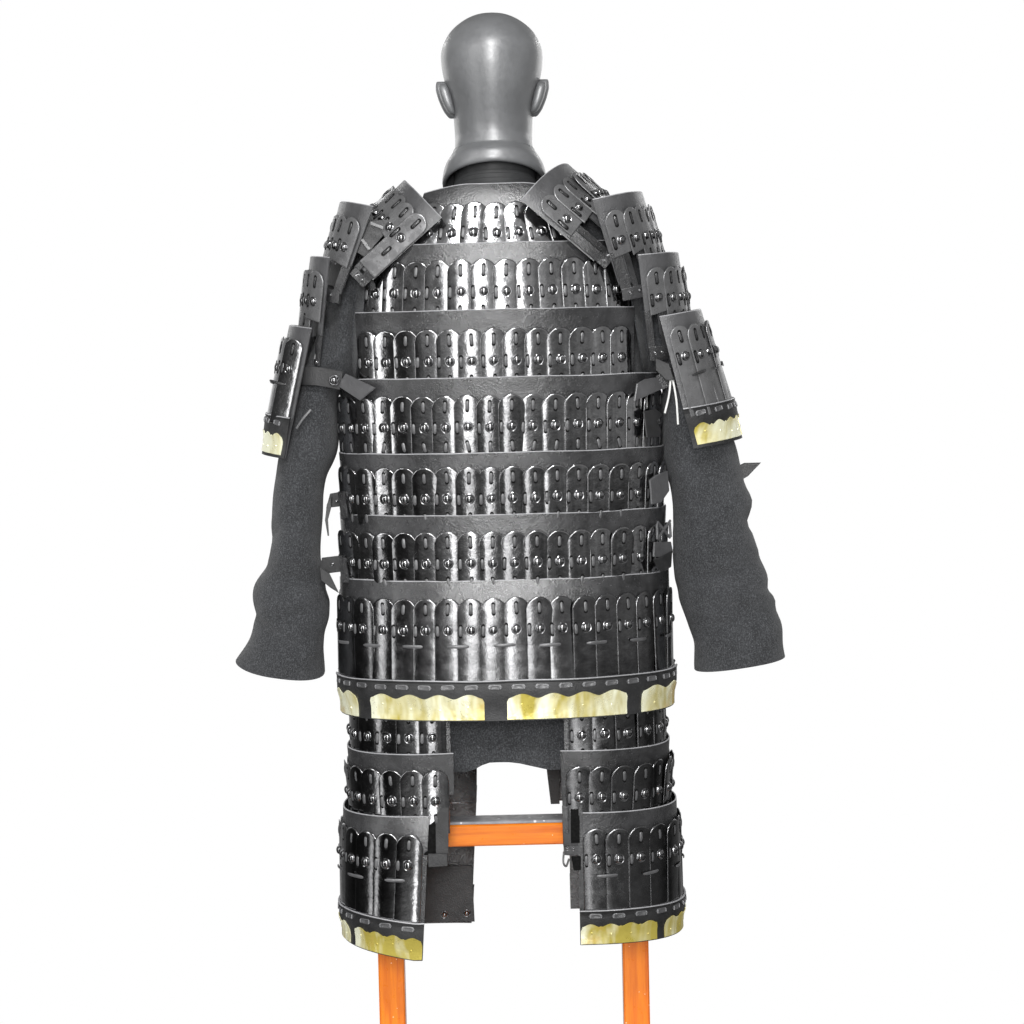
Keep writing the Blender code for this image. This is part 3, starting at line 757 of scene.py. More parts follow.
def build_hangers():
    """The leather straps that hang from the back end of a row to hold the next one."""
    for (part, side, number), hanger in HANGERS.items():
        row = (arm_row(side, ARM_ROWS[side][number - 1]) if part == "arm"
               else thigh_row(side, THIGH_ROWS[number - 1]))
        strip = Strip(row)
        out = THIGH_HANGER_OUT if part == "thigh" else 0.0
        leather, rivets = Batch(), Batch()
        low = -hanger.reach - 0.004
        levels = list(np.linspace(hanger.rise, low, HANGER_STEPS + 1))
        for along, width in hanger.straps:
            outs = [out + 0.0008 + 0.001 * math.sin(3.1 * k / HANGER_STEPS)
                    for k in range(HANGER_STEPS + 1)]
            leather.add(strap_on(strip, along, levels, outs, width, 0.0026))
        if hanger.foot:
            start, end, height = hanger.foot
            low -= height * 0.35
            for layer in (-0.0022, 0.0018):
                spots = [(a, low + 0.0008 * wobble(a * 90.0, layer * 900.0, number))
                         for a in np.linspace(start, end, 6)]
                points = [strip.point(a, v, out + layer) for a, v in spots]
                across = [strip.axes(a, v)[2] for a, v in spots]
                leather.add(strap(points, across, height, 0.0028))
            for share in (0.28, 0.62):
                nail = strip.place(start + (end - start) * share, low + 0.001, out + 0.0034)
                rivets.add(dome(0.0022, 0.0018, 8), nail)
        else:
            rivets.add(dome(0.003, 0.0024, 10), strip.place(0.0035, low + 0.004, out + 0.0024))
        name = "hanger_%s_%s_%d" % (part, side, number)
        leather.build(name, ["Waxed Leather"], "leather")
        rivets.build(name + "_rivets", ["Rivet Steel"], "steel")


def spline(points, steps=12):
    """Evenly drawn points of a smooth curve through the given ones."""
    return [Vector(point) for point in smooth_curve(points, steps)]


def flap(corners, thickness):
    """A flat piece of leather with the given corners, its edges a little rounded."""
    corners = [Vector(corner) for corner in corners]
    centre = sum(corners, Vector()) / len(corners)
    normal = (corners[1] - corners[0]).cross(corners[2] - corners[0]).normalized()
    return tube([[tuple(corner + (centre - corner).normalized() * inset + normal * thickness * out)
                  for corner in corners]
                 for inset, out in ((0.0009, -0.5), (0.0, -0.22), (0.0, 0.22), (0.0009, 0.5))])


# Straps with free ends: direction of the width, width, thickness, finish, and the points of
# the middle line.
LOOSE_STRAPS = {
    "arm_strap_left": ((0.1, 0.05, 1.0), 0.026, 0.0026, "Matt Leather", (
        (0.302, 0.052, 1.287), (0.278, 0.071, 1.289), (0.254, 0.076, 1.287),
        (0.226, 0.081, 1.281))),
    "arm_strap_right": ((-0.2, 0.05, 1.0), 0.022, 0.0026, "Waxed Leather", (
        (-0.262, 0.064, 1.292), (-0.246, 0.074, 1.285), (-0.232, 0.08, 1.277),
        (-0.214, 0.082, 1.268))),
    "arm_cord_right_inner": ((1.0, 0.0, 0.2), 0.0028, 0.002, "Pale Cord", (
        (-0.23, 0.09, 1.276), (-0.227, 0.088, 1.251), (-0.221, 0.084, 1.226))),
    "arm_cord_right_outer": ((1.0, 0.0, -0.1), 0.0028, 0.002, "Pale Cord", (
        (-0.232, 0.09, 1.276), (-0.237, 0.088, 1.244), (-0.239, 0.084, 1.21))),
    "arm_cord_left_upper": ((1.0, 0.0, 0.6), 0.0026, 0.002, "Worn Leather", (
        (0.252, 0.079, 1.336), (0.259, 0.079, 1.324), (0.263, 0.078, 1.312))),
    "arm_cord_left_lower": ((0.7, 0.0, 0.7), 0.0036, 0.0022, "Worn Leather", (
        (0.27, 0.074, 1.242), (0.281, 0.074, 1.23), (0.291, 0.072, 1.216))),
    "thigh_cord_right": ((0.0, 1.0, 0.0), 0.005, 0.0026, "Waxed Leather", (
        (-0.067, 0.121, 0.622), (-0.066, 0.122, 0.607), (-0.07, 0.122, 0.602),
        (-0.074, 0.121, 0.612))),
}
# Flat tabs and strap ends: their finish and their corners. The thigh slot and gap entries are dark
# sheets of painted shade over the openings beside the thigh rows.
TABS = {
    "arm_tab_left": ("Worn Leather", (
        (0.219, 0.088, 1.291), (0.177, 0.126, 1.271), (0.199, 0.112, 1.254),
        (0.231, 0.08, 1.274))),
    "arm_tab_right": ("Worn Leather", (
        (-0.177, 0.118, 1.245), (-0.181, 0.116, 1.268), (-0.193, 0.106, 1.274),
        (-0.21, 0.09, 1.276), (-0.219, 0.08, 1.26), (-0.187, 0.11, 1.248))),
    "guard_tab_right": ("Matt Leather", (
        (-0.209, 0.094, 1.303), (-0.228, 0.096, 1.294), (-0.234, 0.094, 1.272),
        (-0.225, 0.093, 1.271), (-0.209, 0.092, 1.286))),
    "arm_gap_left": ("Matt Leather", (
        (0.189, 0.11, 1.5), (0.15, 0.11, 1.501), (0.15, 0.11, 1.491), (0.174, 0.11, 1.465),
        (0.187, 0.11, 1.449), (0.199, 0.11, 1.457))),
    "arm_buckle_left_upper": ("Worn Leather", (
        (0.1775, 0.135, 1.4979), (0.1588, 0.135, 1.4903), (0.1598, 0.135, 1.4863),
        (0.1786, 0.135, 1.4939))),
    "arm_buckle_left_lower": ("Worn Leather", (
        (0.1917, 0.135, 1.4732), (0.1875, 0.135, 1.4752), (0.1772, 0.135, 1.4603),
        (0.1813, 0.135, 1.4578))),
    "side_strap_left_1_band": ("Matt Leather", (
        (0.226, 0.044, 1.126), (0.249, 0.035, 1.122), (0.255, 0.035, 1.102),
        (0.229, 0.046, 1.105))),
    "side_strap_left_1_fold": ("Waxed Leather", (
        (0.236, 0.06, 1.126), (0.227, 0.068, 1.127), (0.223, 0.071, 1.09),
        (0.232, 0.064, 1.088))),
    "side_strap_left_1_tail": ("Matt Leather", (
        (0.248, 0.04, 1.119), (0.254, 0.04, 1.107), (0.257, 0.04, 1.085), (0.254, 0.04, 1.063),
        (0.252, 0.04, 1.063), (0.253, 0.04, 1.085), (0.248, 0.04, 1.102))),
    "side_strap_left_2_band": ("Matt Leather", (
        (0.23, 0.046, 1.036), (0.263, 0.035, 1.032), (0.266, 0.035, 1.017), (0.254, 0.038, 1.01),
        (0.231, 0.046, 1.013))),
    "side_strap_left_2_fold": ("Waxed Leather", (
        (0.237, 0.06, 1.035), (0.228, 0.068, 1.034), (0.224, 0.071, 0.999),
        (0.234, 0.064, 0.998))),
    "side_strap_left_2_tail": ("Matt Leather", (
        (0.266, 0.043, 1.02), (0.253, 0.043, 1.011), (0.24, 0.043, 0.982), (0.252, 0.043, 0.99),
        (0.265, 0.043, 1.001))),
    "side_tab_right_1": ("Matt Leather", (
        (-0.19, 0.104, 1.229), (-0.208, 0.086, 1.232), (-0.218, 0.07, 1.224),
        (-0.209, 0.084, 1.217), (-0.215, 0.076, 1.201), (-0.213, 0.079, 1.193),
        (-0.194, 0.101, 1.194))),
    "side_tab_right_2": ("Worn Leather", (
        (-0.197, 0.098, 1.134), (-0.206, 0.088, 1.14), (-0.224, 0.059, 1.144),
        (-0.226, 0.057, 1.117), (-0.213, 0.079, 1.102), (-0.199, 0.096, 1.101))),
    "side_tab_right_3": ("Worn Leather", (
        (-0.202, 0.094, 1.048), (-0.227, 0.058, 1.045), (-0.23, 0.05, 1.029),
        (-0.214, 0.08, 1.025), (-0.2, 0.097, 1.028))),
    "side_tab_right_3_fold": ("Matt Leather", (
        (-0.2, 0.1, 1.023), (-0.212, 0.088, 1.026), (-0.229, 0.058, 1.031),
        (-0.227, 0.062, 1.011), (-0.211, 0.09, 1.005))),
    "elbow_strap_right": ("Matt Leather", (
        (-0.328, 0.0, 1.146), (-0.337, 0.0, 1.15), (-0.361, 0.0, 1.15), (-0.342, 0.0, 1.131),
        (-0.333, 0.0, 1.126))),
    "thigh_flap_left": ("Matt Leather", (
        (0.1095, 0.124, 0.69), (0.0913, 0.124, 0.688), (0.0933, 0.124, 0.617),
        (0.1105, 0.124, 0.617))),
    "thigh_foot_left": ("Matt Leather", (
        (0.1213, 0.1275, 0.625), (0.0939, 0.1275, 0.625), (0.0943, 0.1275, 0.607),
        (0.1214, 0.1275, 0.606))),
    # dark sheets of painted shade over the slots beside the thigh rows
    "thigh_slot_left": ("Punched Hole", (
        (0.127, 0.1235, 0.681), (0.1083, 0.1245, 0.681), (0.1096, 0.1245, 0.622),
        (0.127, 0.1235, 0.622))),
    "thigh_slot_right": ("Punched Hole", (
        (-0.0775, 0.1262, 0.682), (-0.09, 0.1262, 0.682), (-0.0892, 0.1262, 0.635),
        (-0.077, 0.1262, 0.635))),
    "thigh_flap_right": ("Matt Leather", (
        (-0.067, 0.1225, 0.7), (-0.09, 0.1225, 0.7), (-0.089, 0.1225, 0.63),
        (-0.067, 0.1225, 0.63))),
    # a dark sheet of painted shade over the gap under the right thigh's flap
    "thigh_gap_right": ("Punched Hole", (
        (-0.077, 0.1235, 0.616), (-0.0905, 0.1235, 0.616), (-0.09, 0.1235, 0.596),
        (-0.08, 0.1235, 0.596))),
    "thigh_tab_right": ("Matt Leather", (
        (-0.047, -0.1, 0.712), (-0.066, -0.1, 0.712), (-0.066, -0.1, 0.65),
        (-0.053, -0.1, 0.65))),
    "thigh_tab_left": ("Matt Leather", (
        (0.135, -0.11, 0.56), (0.0652, -0.11, 0.56), (0.0631, -0.11, 0.4758),
        (0.138, -0.11, 0.4768))),
}
# Single rivets of the left arm strap, the left thigh tab and the left side straps: place and
# radius.
STRAP_RIVETS = (
    ((0.236, 0.086, 1.282), 0.0062),
    ((0.1074, -0.108, 0.4877), 0.0046),
    ((0.0744, -0.108, 0.4889), 0.0046),
    ((0.248, 0.042, 1.023), 0.0022),
    ((0.24, 0.045, 1.112), 0.002),
)
# Laces that cross over a side strap: their two ends.
SIDE_LACES = (((-0.208, 0.085, 1.075), (-0.226, 0.064, 1.051)),
              ((-0.227, 0.062, 1.075), (-0.207, 0.086, 1.051)),
              ((-0.207, 0.087, 1.073), (-0.207, 0.087, 1.052)),
              ((-0.226, 0.064, 1.072), (-0.227, 0.063, 1.052)))


def build_loose_straps():
    """Straps, tabs, cords and single rivets at the arms, the sides and the thighs."""
    for name, (across, width, thickness, finish, points) in LOOSE_STRAPS.items():
        leather = Batch()
        leather.add(strap(spline(points), Vector(across), width, thickness))
        leather.build(name, [finish], "leather")
    for name, (finish, corners) in TABS.items():
        leather = Batch()
        # the sheets of painted shade lie thinner than the leather tabs
        leather.add(flap(corners, 0.0008 if finish == "Punched Hole" else 0.003))
        leather.build(name, [finish], "leather", sharp=25.0)
    laces = Batch()
    for first, last in SIDE_LACES:
        laces.add(strap(spline((first, last), 3), Vector((0.6, 0.8, 0.3)), 0.0034, 0.003))
    laces.build("side_laces_right", ["Laced Leather"], "leather")
    rivets = Batch()
    for spot, radius in STRAP_RIVETS:
        rivets.add(dome(radius, radius * 0.95), Matrix.Translation(spot)
                   @ Matrix.Rotation(math.pi, 4, "Z"))
    rivets.build("strap_rivets", ["Rivet Steel"], "steel")


# ---- materials
def fill(tree, socket, value):
    """Link an input to a socket, or give it a value."""
    if isinstance(value, bpy.types.NodeSocket):
        tree.links.new(value, socket)
    else:
        socket.default_value = value


def add_node(tree, kind, inputs=None, **settings):
    """Add a shader node, set its properties and link or fill its inputs."""
    node = tree.nodes.new("ShaderNode" + kind)
    for key, value in settings.items():
        setattr(node, key, value)
    for key, value in (inputs or {}).items():
        fill(tree, node.inputs[key], value)
    return node


def new_group(name, **inputs):
    """A shader node group with a Vector and other named inputs, and one output, Value."""
    tree = bpy.data.node_groups.new(name, "ShaderNodeTree")
    tree.interface.new_socket("Vector", in_out="INPUT", socket_type="NodeSocketVector")
    for label, default in inputs.items():
        kind = "Vector" if isinstance(default, tuple) else "Float"
        socket = tree.interface.new_socket(label, in_out="INPUT", socket_type="NodeSocket" + kind)
        socket.default_value = default
    tree.interface.new_socket("Value", in_out="OUTPUT", socket_type="NodeSocketFloat")
    entry = tree.nodes.new("NodeGroupInput")
    leave = tree.nodes.new("NodeGroupOutput")
    return tree, entry.outputs, leave.inputs["Value"]


def build_mottling():
    """Soft cloudy patches between a low and a high value."""
    tree, take, give = new_group("Mottling", Scale=20.0, Low=0.0, High=1.0)
    cloud = add_node(tree, "TexNoise", {"Vector": take["Vector"], "Scale": take["Scale"],
                                        "Detail": 5.0, "Roughness": 0.6})
    spread = add_node(tree, "MapRange", {"Value": cloud.outputs["Fac"], "From Min": 0.27,
                                         "From Max": 0.73, "To Min": take["Low"],
                                         "To Max": take["High"]},
                      interpolation_type="SMOOTHSTEP")
    tree.links.new(spread.outputs["Result"], give)


def build_streaks():
    """Fine lines drawn out along one axis, such as brush marks, wood grain or fibres."""
    tree, take, give = new_group("Streaks", Stretch=(1.0, 1.0, 0.05), Scale=400.0, Low=0.0,
                                 High=1.0)
    drawn = add_node(tree, "VectorMath", {0: take["Vector"], 1: take["Stretch"]},
                     operation="MULTIPLY")
    lines = add_node(tree, "TexNoise", {"Vector": drawn.outputs["Vector"],
                                        "Scale": take["Scale"], "Detail": 4.0,
                                        "Roughness": 0.65, "Distortion": 0.4})
    spread = add_node(tree, "MapRange", {"Value": lines.outputs["Fac"], "From Min": 0.35,
                                         "From Max": 0.65, "To Min": take["Low"],
                                         "To Max": take["High"]})
    tree.links.new(spread.outputs["Result"], give)


def build_specks():
    """Small scattered spots, 1 inside a spot and 0 outside."""
    tree, take, give = new_group("Specks", Scale=200.0, Size=0.12, Share=0.3)
    cells = add_node(tree, "TexVoronoi", {"Vector": take["Vector"], "Scale": take["Scale"]})
    near = add_node(tree, "Math", {0: cells.outputs["Distance"], 1: take["Size"]},
                    operation="LESS_THAN")
    part = add_node(tree, "SeparateColor", {"Color": cells.outputs["Color"]})
    chosen = add_node(tree, "Math", {0: part.outputs["Red"], 1: take["Share"]},
                      operation="LESS_THAN")
    both = add_node(tree, "Math", {0: near.outputs[0], 1: chosen.outputs[0]},
                    operation="MULTIPLY")
    tree.links.new(both.outputs[0], give)


class Finish:
    """A material with a Principled shader, built up from groups and mixes."""

    def __init__(self, name, **constants):
        self.material = bpy.data.materials.new(name)
        self.material.use_nodes = True
        self.tree = self.material.node_tree
        self.shader = self.tree.nodes["Principled BSDF"]
        self.where = add_node(self.tree, "TexCoord").outputs["Object"]
        for label, value in constants.items():
            self.shader.inputs[label.replace("_", " ")].default_value = value

    def group(self, name, **inputs):
        """The Value of a shared group with its own inputs."""
        node = self.tree.nodes.new("ShaderNodeGroup")
        node.node_tree = bpy.data.node_groups[name]
        for label, value in {"Vector": self.where, **inputs}.items():
            fill(self.tree, node.inputs[label], value)
        return node.outputs["Value"]

    def cloud(self, scale, low=0.0, high=1.0):
        return self.group("Mottling", Scale=scale, Low=low, High=high)

    def blend(self, share, first, second):
        """A colour between two colours or colour sockets."""
        ends = [(*end, 1.0) if isinstance(end, tuple) else end for end in (first, second)]
        inputs = {0: share, 6: ends[0], 7: ends[1]}
        return add_node(self.tree, "Mix", inputs, data_type="RGBA").outputs[2]

    def math(self, operation, first, second):
        return add_node(self.tree, "Math", {0: first, 1: second}, operation=operation).outputs[0]

    def feed(self, label, socket):
        self.tree.links.new(socket, self.shader.inputs[label])

    def bumps(self, *layers):
        """Stack bump maps: each layer is a height socket, a depth in metres and a strength."""
        normal = None
        for height, depth, strength in layers:
            inputs = {"Height": height, "Distance": depth, "Strength": strength}
            if normal is not None:
                inputs["Normal"] = normal
            normal = add_node(self.tree, "Bump", inputs).outputs["Normal"]
        self.feed("Normal", normal)


def shades(colour, low, high):
    """A darker and a lighter tone of a colour."""
    return tuple(low * part for part in colour), tuple(high * part for part in colour)


def make_steel(name, tones, rough, dents, metallic=1.0):
    """Polished plate steel: mirror-like, slightly uneven, with faint upright brush marks."""
    dark, light = tones
    steel = Finish(name, Metallic=metallic)
    island = add_node(steel.tree, "NewGeometry").outputs["Random Per Island"]
    shade = steel.math("ADD", steel.cloud(34.0, 0.0, 0.5), steel.cloud(115.0, 0.0, 0.3))
    tone = steel.math("ADD", shade, steel.math("MULTIPLY", island, 0.2))
    steel.feed("Base Color", steel.blend(tone, dark, light))
    steel.feed("Roughness", steel.cloud(70.0, *rough))
    brush = steel.group("Streaks", Scale=900.0, Stretch=(1.0, 1.0, 0.03))
    steel.bumps((steel.cloud(24.0), 0.00028 * dents, 0.6),
                (steel.cloud(62.0), 0.00012 * dents, 0.6),
                (steel.cloud(150.0), 0.00003 * dents, 0.5),
                (brush, 0.00001, 0.25))


def make_leather(name, tones, rough, shine=1.0):
    """Black waxed leather: cloudy sheen, fine grain, and pale specks that are partly scuffs and
    partly painted glints.
    """
    dark, light = tones
    hide = Finish(name, Specular_IOR_Level=shine)
    cloud = hide.math("ADD", hide.cloud(13.0, 0.0, 0.6), hide.cloud(70.0, 0.0, 0.4))
    # pale specks: partly scuffs, partly painted glints that stand in for the leather's speckled
    # highlights
    scuff_and_glint_specks = hide.group("Specks", Scale=420.0, Size=0.22, Share=0.1)
    tone = hide.blend(cloud, dark, light)
    pale = tuple(2.6 * part for part in light)
    hide.feed("Base Color", hide.blend(hide.math("MULTIPLY", scuff_and_glint_specks, 0.55), tone, pale))
    hide.feed("Roughness", hide.cloud(9.0, *rough))
    hide.bumps((hide.cloud(12.0), 0.0014, 0.4),
               (hide.cloud(430.0), 0.0003, 0.65))


def make_wool(colour):
    """Charcoal wool: crossed fibres, a soft nap and pale lint."""
    wool = Finish("Charcoal Wool", Roughness=1.0, Specular_IOR_Level=0.15, Sheen_Weight=0.12,
                  Sheen_Roughness=0.55)
    cloud = wool.cloud(24.0)
    lint = wool.group("Specks", Scale=620.0, Size=0.2, Share=0.07)
    ground = wool.blend(cloud, *shades(colour, 0.62, 1.0))
    thread, fluff = shades(colour, 4.1, 11.3)
    down = wool.group("Streaks", Scale=760.0, Stretch=(1.0, 1.0, 0.4), Low=-1.1, High=1.0)
    over = wool.group("Streaks", Scale=820.0, Stretch=(0.4, 1.0, 1.0), Low=-1.3, High=0.9)
    fibre = wool.math("MAXIMUM", wool.math("MAXIMUM", down, over), 0.0)
    cloth = wool.blend(wool.math("MULTIPLY", fibre, 0.46), ground, thread)
    wool.feed("Base Color", wool.blend(wool.math("MULTIPLY", lint, 0.6), cloth, fluff))
    wool.bumps((wool.cloud(90.0), 0.0012, 0.5), (fibre, 0.0004, 0.6),
               (wool.cloud(1100.0), 0.0003, 0.6))


def make_plastic(name, tones, rough, shine=0.5):
    """Grey moulded plastic, a little scuffed."""
    plastic = Finish(name, Specular_IOR_Level=shine, Coat_Weight=0.5 * shine,
                     Coat_Roughness=0.34)
    cloud = plastic.cloud(30.0)
    tone = plastic.blend(cloud, *tones)
    scuff_and_glint_specks = plastic.group("Specks", Scale=160.0, Size=0.1, Share=0.18)
    plastic.feed("Base Color", plastic.blend(plastic.math("MULTIPLY", scuff_and_glint_specks, 0.25), tone,
                                             (0.26, 0.265, 0.27)))
    plastic.feed("Roughness", plastic.cloud(120.0, *rough))
    plastic.bumps((plastic.cloud(160.0), 0.00022, 0.5),
                  (plastic.cloud(900.0), 0.00003, 0.4))


def make_wood(name, colour, stretch):
    """Orange-stained wood under thick varnish, chipped in places."""
    wood = Finish(name, Coat_Weight=0.6, Coat_Roughness=0.1, Specular_IOR_Level=0.3)
    grain = wood.group("Streaks", Scale=95.0, Stretch=stretch)
    fine = wood.group("Streaks", Scale=420.0, Stretch=stretch)
    both = wood.math("ADD", wood.math("MULTIPLY", grain, 0.7), wood.math("MULTIPLY", fine, 0.3))
    deep = tuple(part * share for part, share in zip(colour, (0.71, 0.49, 0.4)))
    stain = wood.blend(both, deep, tuple(colour))
    chips = wood.group("Specks", Scale=150.0, Size=0.13, Share=0.24)
    wood.feed("Base Color", wood.blend(wood.math("MULTIPLY", chips, 0.8), stain,
                                       (0.95, 0.72, 0.48)))
    wood.feed("Roughness", wood.cloud(80.0, 0.26, 0.4))
    wood.bumps((grain, 0.0003, 0.35), (chips, -0.0004, 0.5))


def make_rail():
    """Grey paint, chipped to a pale ground."""
    rail = Finish("Painted Rail")
    cloud = rail.cloud(60.0)
    worn = rail.group("Specks", Scale=95.0, Size=0.2, Share=0.35)
    tone = rail.blend(cloud, (0.2, 0.2, 0.215), (0.31, 0.31, 0.325))
    rail.feed("Base Color", rail.blend(rail.math("MULTIPLY", worn, 0.75), tone,
                                       (0.8, 0.8, 0.82)))
    rail.feed("Roughness", rail.cloud(90.0, 0.32, 0.6))
    rail.bumps((cloud, 0.0003, 0.4))


def make_brass(colour):
    """Thin brass: pale streaks of painted sheen, deep gold between them, and a little coppery in
    places.
    """
    brass = Finish("Hem Brass", Metallic=0.5)
    # painted sheen: broad pale streaks that stand in for the bright reflections along the brass
    sheen = brass.group("Streaks", Scale=12.0, Stretch=(1.0, 1.0, 0.35), Low=-0.5, High=1.7)
    gold, copper = (tuple(part * share for part, share in zip(colour, shares))
                    for shares in ((0.52, 0.43, 0.11), (0.62, 0.42, 0.14)))
    tone = brass.blend(sheen, gold, tuple(colour))
    patch = brass.cloud(11.0, -3.2, 0.8)
    brass.feed("Base Color", brass.blend(brass.math("MAXIMUM", patch, 0.0), tone, copper))
    brass.feed("Roughness", brass.cloud(40.0, 0.22, 0.5))
    brass.bumps((brass.cloud(9.0), 0.0022, 0.7),
                (brass.cloud(45.0), 0.0003, 0.6))


def make_hole_shade():
    """Painted shade: a near-black finish that stands in for the shade inside a hole or slot."""
    shade = Finish("Punched Hole", Roughness=0.95, Specular_IOR_Level=0.1)
    shade.feed("Base Color", shade.blend(shade.cloud(300.0),
                                         (0.002, 0.002, 0.002), (0.008, 0.008, 0.008)))


def make_materials(colours):
    """Make the shared groups and every finish."""
    build_mottling()
    build_streaks()
    build_specks()
    steel, leather, plastic = colours.steel, colours.leather, colours.plastic
    make_steel("Polished Steel", shades(steel, 0.5, 1.03), (0.035, 0.15), 1.2)
    make_steel("Brushed Steel", shades(steel, 0.18, 0.34), (0.2, 0.36), 1.2, 0.6)
    # A rougher and darker copy of the polished steel for the lowest torso row: the rougher finish
    # is the steel's own, the darker tone is painted shade for the lower part.
    make_steel("Satin Steel", shades(steel, 0.26, 0.54), (0.1, 0.22), 1.1)
    make_steel("Oiled Steel", shades(steel, 0.29, 0.53), (0.16, 0.3), 1.2)
    make_steel("Rivet Steel", shades(steel, 0.53, 0.77), (0.05, 0.12), 0.3)
    make_leather("Waxed Leather", shades(leather, 0.1, 0.8), (0.17, 0.33))
    make_leather("Matt Leather", shades(leather, 0.1, 0.45), (0.44, 0.64), 0.6)
    make_leather("Laced Leather", shades(leather, 0.65, 1.55), (0.35, 0.5))
    make_leather("Worn Leather", shades(leather, 0.64, 1.36), (0.3, 0.5))
    # Lighter leather for the upper cut edges, the hem lips and the stitch knots: partly the raw
    # edge's own colour, partly a painted highlight.
    make_leather("Cut Leather", shades(leather, 2.9, 5.4), (0.4, 0.6))
    make_leather("Pale Cord", shades((0.62, 0.62, 0.6), 0.73, 1.0), (0.4, 0.6))
    make_wool(colours.wool)
    make_plastic("Form Plastic", shades(plastic, 0.7, 0.88), (0.36, 0.5), 1.0)
    # A far darker copy of the form's plastic: painted shade for the neck stub that lies in the
    # head's shadow.
    make_plastic("Body Plastic", shades(plastic, 0.13, 0.21), (0.5, 0.65), 0.15)
    make_wood("Stained Wood Upright", colours.wood, (1.0, 1.0, 0.06))
    make_wood("Stained Wood Crosswise", colours.wood, (0.06, 1.0, 1.0))
    make_wood("Stained Wood Lengthwise", colours.wood, (1.0, 0.06, 1.0))
    make_rail()
    make_brass(colours.brass)
    make_hole_shade()


# ---- rows of the armour
def torso_row(panel, top, bottom, lift, half_width):
    """The strip of one torso row, on the back or on the front."""
    facing = 1.0 if panel == "back" else -1.0
    low = section_at(ARMOUR_SECTIONS, bottom)
    high = section_at(ARMOUR_SECTIONS, top)
    if half_width is None:
        end = SIDE_GAP
    else:
        end = angle_at_x(half_width, (low[0] + high[0]) / 2.0, TORSO_POWER)
    return Row(Matrix.Translation((MIDDLE, 0.0, bottom)), low, high, top - bottom,
               facing * end, facing * (math.pi - end), TORSO_POWER, lift, 0.0)


# How much shorter a torso row's leather is at its two ends.
ROW_TRIMS = {("back", 2): (0.0, 0.007), ("back", 3): (0.0, 0.014)}
COLLAR_CORNERS = (0.011, 0.011)
# The brass pieces of the torso's hem: from which X to which, or to the row's own end.
TORSO_BRASS = ((None, 0.2102), (0.1918, 0.0358), (0.0038, -0.1562), (-0.1772, None))
BRASS_MARGIN = 0.004    # from an end of the row to the brass


def build_torso(kind):
    """The seven rows of the back and of the front, and their hems."""
    for panel in ("back", "front"):
        for number, top, bottom, plates_top, plates_bottom, lift, half_width in TORSO_ROWS:
            collar = number == 1
            if collar:
                top -= COLLAR_DROP[panel]
                plates_top -= COLLAR_DROP[panel]
            node = "torso_%s_%d" % (panel, number)
            dressing = Dressing(plates_bottom - bottom, plates_top - bottom,
                                trim=ROW_TRIMS.get((panel, number), (0.0, 0.0)),
                                corners=COLLAR_CORNERS if collar else (0.0, 0.0),
                                lower=number < 7, seam=number == 7)
            # the lowest row takes the darker steel, whose darker tone is painted shade
            strip = dress_row("%s_%d" % (panel, number),
                              torso_row(panel, top, bottom, lift, half_width),
                              kind._replace(steel="Satin Steel") if number == 7 else kind,
                              dressing, node + "_plates", node + "_leather")
        ends = (BRASS_MARGIN, strip.length - BRASS_MARGIN)
        trim_hem(panel + "_hem", strip, TORSO_HEM,
                 [tuple(end if x is None else strip.along_at_x(x) for x, end in zip(piece, ends))
                  for piece in TORSO_BRASS])


def on_side(side, place):
    """A place on the wearer's left, or its mirror image on the right."""
    sign = 1.0 if side == "left" else -1.0
    return Matrix.Translation((MIDDLE, 0.0, 0.0)) @ Matrix.Diagonal((sign, 1.0, 1.0, 1.0)) @ place


# How far a row's lower edge sags at its inner end, and how far that end slants outwards.
THIGH_SAG = {("left", 3): (0.017, 0.014)}


def thigh_row(side, entry):
    """The strip of one thigh row."""
    number, top, bottom = entry[:3]
    top_width, top_depth, bottom_width, bottom_depth = entry[5:]
    middle = (top_width + bottom_width) / 2.0
    back, front = (angle_at_x(ends[side][number - 1] - THIGH_CENTRE, middle, THIGH_POWER)
                   for ends in (THIGH_BACK_END, THIGH_FRONT_END))
    place = on_side(side, Matrix.Translation((THIGH_CENTRE, 0.0, bottom)))
    return Row(place, (bottom_width, bottom_depth), (top_width, top_depth), top - bottom,
               back, -front, THIGH_POWER, 0.0, 0.0, 0.0,
               *THIGH_SAG.get((side, number), (0.0, 0.0)))


# Where the first brass piece of a thigh's hem ends in X, and the sizes of the ones after it.
THIGH_BRASS = {"left": 0.2237, "right": -0.193}
THIGH_BRASS_LENGTH = 0.105
THIGH_BRASS_GAP = 0.014


def build_thighs(kind):
    """The three rows round each thigh, and their hems."""
    for side in ("left", "right"):
        for entry in THIGH_ROWS:
            number, _, bottom, plates_top, plates_bottom = entry[:5]
            node = "thigh_%s_%d" % (side, number)
            dressing = Dressing(plates_bottom - bottom, plates_top - bottom,
                                notch=NOTCHES.get(("thigh", side, number)),
                                lower=number < 3, seam=number == 3)
            strip = dress_row("leg_%s_%d" % (side, number), thigh_row(side, entry),
                              kind if side == "left" else kind._replace(steel="Oiled Steel"),
                              dressing, node + "_plates", node + "_leather")
        first = strip.along_at_x(THIGH_BRASS[side])
        trim_hem("leg_%s_hem" % side, strip, THIGH_HEM, [(0.001, first)] + runs(
            first + THIGH_BRASS_GAP, strip.length, THIGH_BRASS_LENGTH, THIGH_BRASS_GAP))


